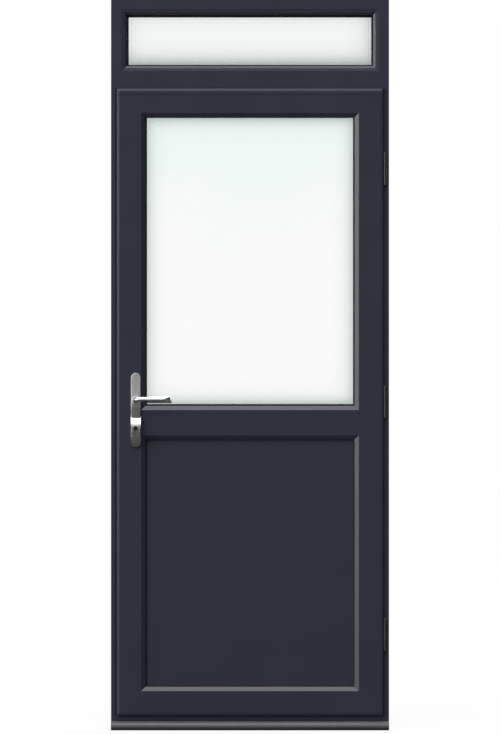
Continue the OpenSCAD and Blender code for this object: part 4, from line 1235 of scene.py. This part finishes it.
@dataclass
class LockFittings:
    """Plates, cylinder, faceplate, keeps and bolts, with the screws that hold them."""

    plate_screw: ScrewHead = ScrewHead(4.2 * MM, 0.9 * MM)
    plate_screw_inset: float = 12.5 * MM
    plate_screw_sunk: float = 0.1 * MM
    plate_screw_turns: Span = (0.35, 0.9)
    plate_polish: float = 0.26
    plate_face: float = -22 * MM
    grub_screw: ScrewHead = ScrewHead(2.2 * MM, 0.2 * MM)
    grub_inset: float = 7 * MM
    face_screw: ScrewHead = ScrewHead(3.6 * MM, 0.5 * MM)
    face_screw_insets: Span = (15 * MM, 120 * MM)
    face_screw_heights: tuple[float, ...] = (0.56, 0.72, 0.86, 1.15, 1.3, 1.5)
    face_screw_turns: Span = (0.3, 0.7)
    cylinder_screw_down: float = 10 * MM
    hook_keep: float = 75.7 * MM
    keep_screw_inset: float = 8 * MM
    keep_screw_turns: Span = (0.0, 0.5)

    def build(self, shop: Workshop) -> None:
        """Dresses the lock and sets its screws.

        Args:
            shop: where the pieces go.
        """
        low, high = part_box("spindle")
        middle = 0.5 * (low.z + high.z)
        worn = replace(PLATE, name="handle_worn", worn_below=middle, polish=self.plate_polish)
        shop.dress(worn, "outer_plate")
        shop.dress(PLATE, "inner_plate")
        shop.dress(KEEP, "lock_faceplate", "hook_keeps", "centre_keep")
        shop.dress_slot(BOLT, "bolt_steel")
        # Cylinder and plug are darkened as painted shade.
        shop.dress(CYLINDER, "cylinder_body")
        shop.dress(PLUG, "cylinder_plug")
        self.plate_screws(shop)
        self.faceplate_screws(shop)
        self.keep_screws(shop)

    def plate_screws(self, shop: Workshop) -> None:
        """The two screws that show on the inside plate, and the grub screw near the top of the outside one.

        Args:
            shop: where the pieces go.
        """
        low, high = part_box("inner_plate")
        x, y = 0.5 * (low.x + high.x), high.y - self.plate_screw_sunk
        heights = (low.z + self.plate_screw_inset, high.z - self.plate_screw_inset)
        heads = [
            self.plate_screw.shell(Facing.INSIDE, (x, y, z), turn)
            for z, turn in zip(heights, self.plate_screw_turns)
        ]
        shop.add(Shell.join(heads), "inner_plate_screws", BOLT, Body.LEAF, "bolt_steel")
        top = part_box("outer_plate")[1].z
        # The grub screw takes the cylinder's nickel, which is darkened as painted shade.
        grub = self.grub_screw.shell(Facing.OUTSIDE, (x, self.plate_face, top - self.grub_inset))
        shop.add(grub, "outer_plate_grub_screw", CYLINDER, Body.LEAF, "bolt_steel")

    def faceplate_screws(self, shop: Workshop) -> None:
        """The countersunk screws along the faceplate, between the bolts, and the cylinder's own screw.

        Args:
            shop: where the pieces go.
        """
        low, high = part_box("lock_faceplate")
        y = 0.5 * (low.y + high.y)
        first, second = self.face_screw_insets
        lowest, highest = (low.z + first, low.z + second), (high.z - second, high.z - first)
        body_low, body_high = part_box("cylinder_body")
        own = 0.5 * (body_low.z + body_high.z) - self.cylinder_screw_down
        places = [(low.x, y, z) for z in (*lowest, *self.face_screw_heights, *highest, own)]
        heads = self.face_screws(Facing.LEFT, places, self.face_screw_turns)
        shop.add(heads, "faceplate_screws", BOLT, Body.LEAF, "bolt_steel")

    def keep_screws(self, shop: Workshop) -> None:
        """A screw near each end of each keep.

        Args:
            shop: where the pieces go.
        """
        low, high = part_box("hook_keeps")
        centre_low, centre_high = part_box("centre_keep")
        y, inset = 0.5 * (low.y + high.y), self.keep_screw_inset
        keeps = (
            (low.z, low.z + self.hook_keep),
            (centre_low.z, centre_high.z),
            (high.z - self.hook_keep, high.z),
        )
        places = [(high.x, y, z) for bottom, top in keeps for z in (bottom + inset, top - inset)]
        heads = self.face_screws(Facing.RIGHT, places, self.keep_screw_turns)
        shop.add(heads, "keep_screws", BOLT, Body.FRAME, "bolt_steel")

    def face_screws(self, facing: Facing, places: Sequence[Point], turns: Span) -> Shell:
        """A row of the small countersunk screws, each turned a step further than the one before.

        Args:
            facing: direction of the faces that they sit on.
            places: middles of the heads.
            turns: turn of the first screw, and the step.

        Returns:
            The heads.
        """
        first, step = turns
        return Shell.join(
            [self.face_screw.shell(facing, at, first + step * n) for n, at in enumerate(places)]
        )


@dataclass
class Hinges:
    """Three slim hinges with domed caps and countersunk screws.

    Each place of a strap's screws is its distance from the strap's inner edge and its height over the middle.
    """

    half_length: float = 52 * MM
    cap_r: float = 5.5 * MM
    cap_rise: float = 1.8 * MM
    cap_sunk: float = 0.4 * MM
    strap_t: float = 2.4 * MM
    screw: ScrewHead = ScrewHead(3.6 * MM, 0.3 * MM)
    screw_places: tuple[Span, ...] = (
        (9 * MM, -38 * MM), (9 * MM, 38 * MM), (20 * MM, -18 * MM), (20 * MM, 18 * MM)
    )
    screw_turn: float = 20.0

    def middles(self) -> tuple[float, float, float]:
        """Heights of the hinges' middles: one at each end of the pins' box, and one halfway."""
        low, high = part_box("hinge_pins")
        return low.z + self.half_length, 0.5 * (low.z + high.z), high.z - self.half_length

    def build(self, shop: Workshop) -> None:
        """Dresses the hinges and adds caps and screws.

        The dome is a quarter ellipse: the cap's radius times the cosine of an angle, and its rise times the
        sine.

        Args:
            shop: where the pieces go.
        """
        shop.dress_slot(HINGE, "hinge")
        low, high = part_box("hinge_pins")
        x, y = 0.5 * (low.x + high.x), 0.5 * (low.y + high.y)
        angle = np.linspace(0.0, QUARTER_TURN, 10)[:-1]
        dome = np.stack([self.cap_r * np.cos(angle), self.cap_rise * np.sin(angle)], -1)
        foot, top = [[self.cap_r, -self.cap_sunk]], [[POLE * self.cap_r, self.cap_rise]]
        profile = np.concatenate([foot, dome, top])
        caps = [
            revolved(profile, facing, (x, y, z + end), 32)
            for facing, end in ((Facing.UP, self.half_length), (Facing.DOWN, -self.half_length))
            for z in self.middles()
        ]
        shop.add(Shell.join(caps), "hinge_caps", HINGE, Body.FRAME, "hinge")
        self.screws(shop, "hinge_frame_straps", Facing.LEFT, Body.FRAME)
        self.screws(shop, "hinge_leaf_straps", Facing.RIGHT, Body.LEAF)

    def screws(self, shop: Workshop, node: str, facing: Facing, body: Body) -> None:
        """Four screws on each strap of one side.

        Args:
            shop: where the pieces go.
            node: the straps.
            facing: direction of the straps' faces.
            body: the body that they ride on.
        """
        low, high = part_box(node)
        face = low.x if facing is Facing.LEFT else low.x + self.strap_t
        heads = [
            self.screw.shell(facing, (face, high.y - inset, z + rise), self.screw_turn * rise)
            for z in self.middles()
            for inset, rise in self.screw_places
        ]
        shop.add(Shell.join(heads), f"{node}_screws", HINGE, body, "hinge")


@dataclass(frozen=True)
class Lamp:
    """A wide soft lamp, far away in the direction that its light comes from."""

    name: str
    strength: float
    source: Point
    spread_deg: float

    def build(self) -> None:
        """Hangs the lamp."""
        data = bpy.data.lights.new(self.name, "SUN")
        data.energy = self.strength
        data.angle = math.radians(self.spread_deg)
        lamp = bpy.data.objects.new(self.name, data)
        lamp.rotation_euler = Vector(self.source).to_track_quat("Z", "Y").to_euler()
        bpy.context.scene.collection.objects.link(lamp)


@dataclass
class Studio:
    """Camera, floor, lamps and world.

    In reflections the world is brightest towards bright_from, and dimmer behind the door.
    """

    picture: tuple[int, int] = (500, 734)
    metres_per_pixel: float = 3.237 * MM
    floor_row: float = 730.35
    lens_mm: float = 150.0
    sensor_mm: float = 24.0
    sight: float = 200.0
    floor_radius: float = 30.0
    floor_pale: Colour = (0.86, 0.86, 0.86)
    floor_dim: Colour = (0.12, 0.12, 0.12)
    floor_rough: float = 0.9
    floor_glow: float = 0.9
    lamps: tuple[Lamp, ...] = (
        Lamp("left_light", 2.5, (-0.83, -0.55, 0.06), 46.0),
        Lamp("top_light", 1.8, (-0.04, -0.55, 0.83), 46.0),
        Lamp("rear_light", 2.4, (0.45, 0.7, 0.55), 70.0),
    )
    ambient: float = 0.2
    bright_from: Point = (-0.78, 0.25, 0.57)
    bright_span: Span = (-0.45, 0.85)
    bright_least: float = 0.05
    behind: float = 0.6
    behind_span: Span = (-0.35, 0.1)

    def build(self) -> None:
        """Sets up the whole studio."""
        bpy.context.scene.view_settings.view_transform = "Standard"
        self.camera()
        self.floor()
        for lamp in self.lamps:
            lamp.build()
        self.world()

    def camera(self) -> None:
        """A long lens square in front of the door, with the picture's rows and columns as in the photograph."""
        data = bpy.data.cameras.new("camera")
        data.sensor_fit = "VERTICAL"
        data.sensor_height = self.sensor_mm
        data.lens = self.lens_mm
        data.clip_end = self.sight
        rows = self.picture[1]
        distance = self.lens_mm / self.sensor_mm * rows * self.metres_per_pixel
        middle = (self.floor_row - 0.5 * rows) * self.metres_per_pixel
        camera = bpy.data.objects.new("camera", data)
        camera.location = (0.0, -distance, middle)
        camera.rotation_euler = (QUARTER_TURN, 0.0, 0.0)
        bpy.context.scene.collection.objects.link(camera)
        bpy.context.scene.camera = camera

    @staticmethod
    def straight(path: bpy.types.NodeOutputs, w: Wiring) -> bpy.types.NodeSocket:
        """Whether a ray comes from the camera, also through glass."""
        return w.math("MAXIMUM", path["Is Camera Ray"], path["Is Transmission Ray"])

    def floor(self) -> None:
        """A wide round floor, white with a soft shadow to the camera and dim in the metal's reflections."""
        angle = around(64)
        rim = self.floor_radius * np.stack([np.cos(angle), np.sin(angle), 0 * angle], -1)
        mesh = bpy.data.meshes.new("floor")
        mesh.from_pydata(rim.tolist(), [], [list(range(len(rim)))])
        floor = bpy.data.objects.new("floor", mesh)
        bpy.context.scene.collection.objects.link(floor)
        material = bpy.data.materials.new("floor_pale")
        material.use_nodes = True
        w = Wiring(material.node_tree)
        nodes = material.node_tree.nodes
        shader = nodes["Principled BSDF"]
        straight = self.straight(w.put("ShaderNodeLightPath").outputs, w)
        w.coat(shader, w.blend(straight, self.floor_dim, self.floor_pale), self.floor_rough)
        shader.inputs["Specular IOR Level"].default_value = 0.0
        glow = w.put("ShaderNodeEmission", Color=WHITE, Strength=1.0)
        mix = w.put("ShaderNodeMixShader", Fac=w.math("MULTIPLY", straight, self.floor_glow))
        w.feed(mix.inputs[1], shader.outputs[0])
        w.feed(mix.inputs[2], glow.outputs[0])
        w.feed(nodes["Material Output"].inputs["Surface"], mix.outputs[0])
        mesh.materials.append(material)

    def world(self) -> None:
        """White to the camera and through glass, graded from one side in reflections, and dim otherwise."""
        world = bpy.data.worlds.new("studio")
        bpy.context.scene.world = world
        world.use_nodes = True
        w = Wiring(world.node_tree)
        path = w.put("ShaderNodeLightPath").outputs
        toward = w.put("ShaderNodeTexCoord").outputs["Generated"]
        brightest = tuple(Vector(self.bright_from).normalized())
        facing = w.vectors("DOT_PRODUCT", toward, brightest).outputs["Value"]
        depth = w.put("ShaderNodeSeparateXYZ", Vector=toward).outputs["Y"]
        graded = w.math(
            "MULTIPLY",
            w.ramp(facing, self.bright_span, self.bright_least),
            w.ramp(depth, self.behind_span, 1.0, self.behind),
        )
        reflected = w.math("MULTIPLY", path["Is Glossy Ray"], graded)
        scattered = w.math("MULTIPLY", path["Is Diffuse Ray"], self.ambient)
        seen = w.math("MAXIMUM", self.straight(path, w), reflected)
        background = world.node_tree.nodes["Background"]
        w.feed(background.inputs["Color"], WHITE)
        w.feed(background.inputs["Strength"], w.math("MAXIMUM", seen, scattered))


def main() -> None:
    """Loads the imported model, dresses it and sets up the studio."""
    logging.basicConfig(level=logging.INFO, format="%(name)s: %(message)s")
    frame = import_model()
    shop = Workshop(frame, Patterns())
    hinges = Hinges()
    for assembly in (Profiles(hinges), Glazing(), LockFittings(), LeverPair(), hinges):
        assembly.build(shop)
    Studio().build()


if __name__ == "__main__":
    main()
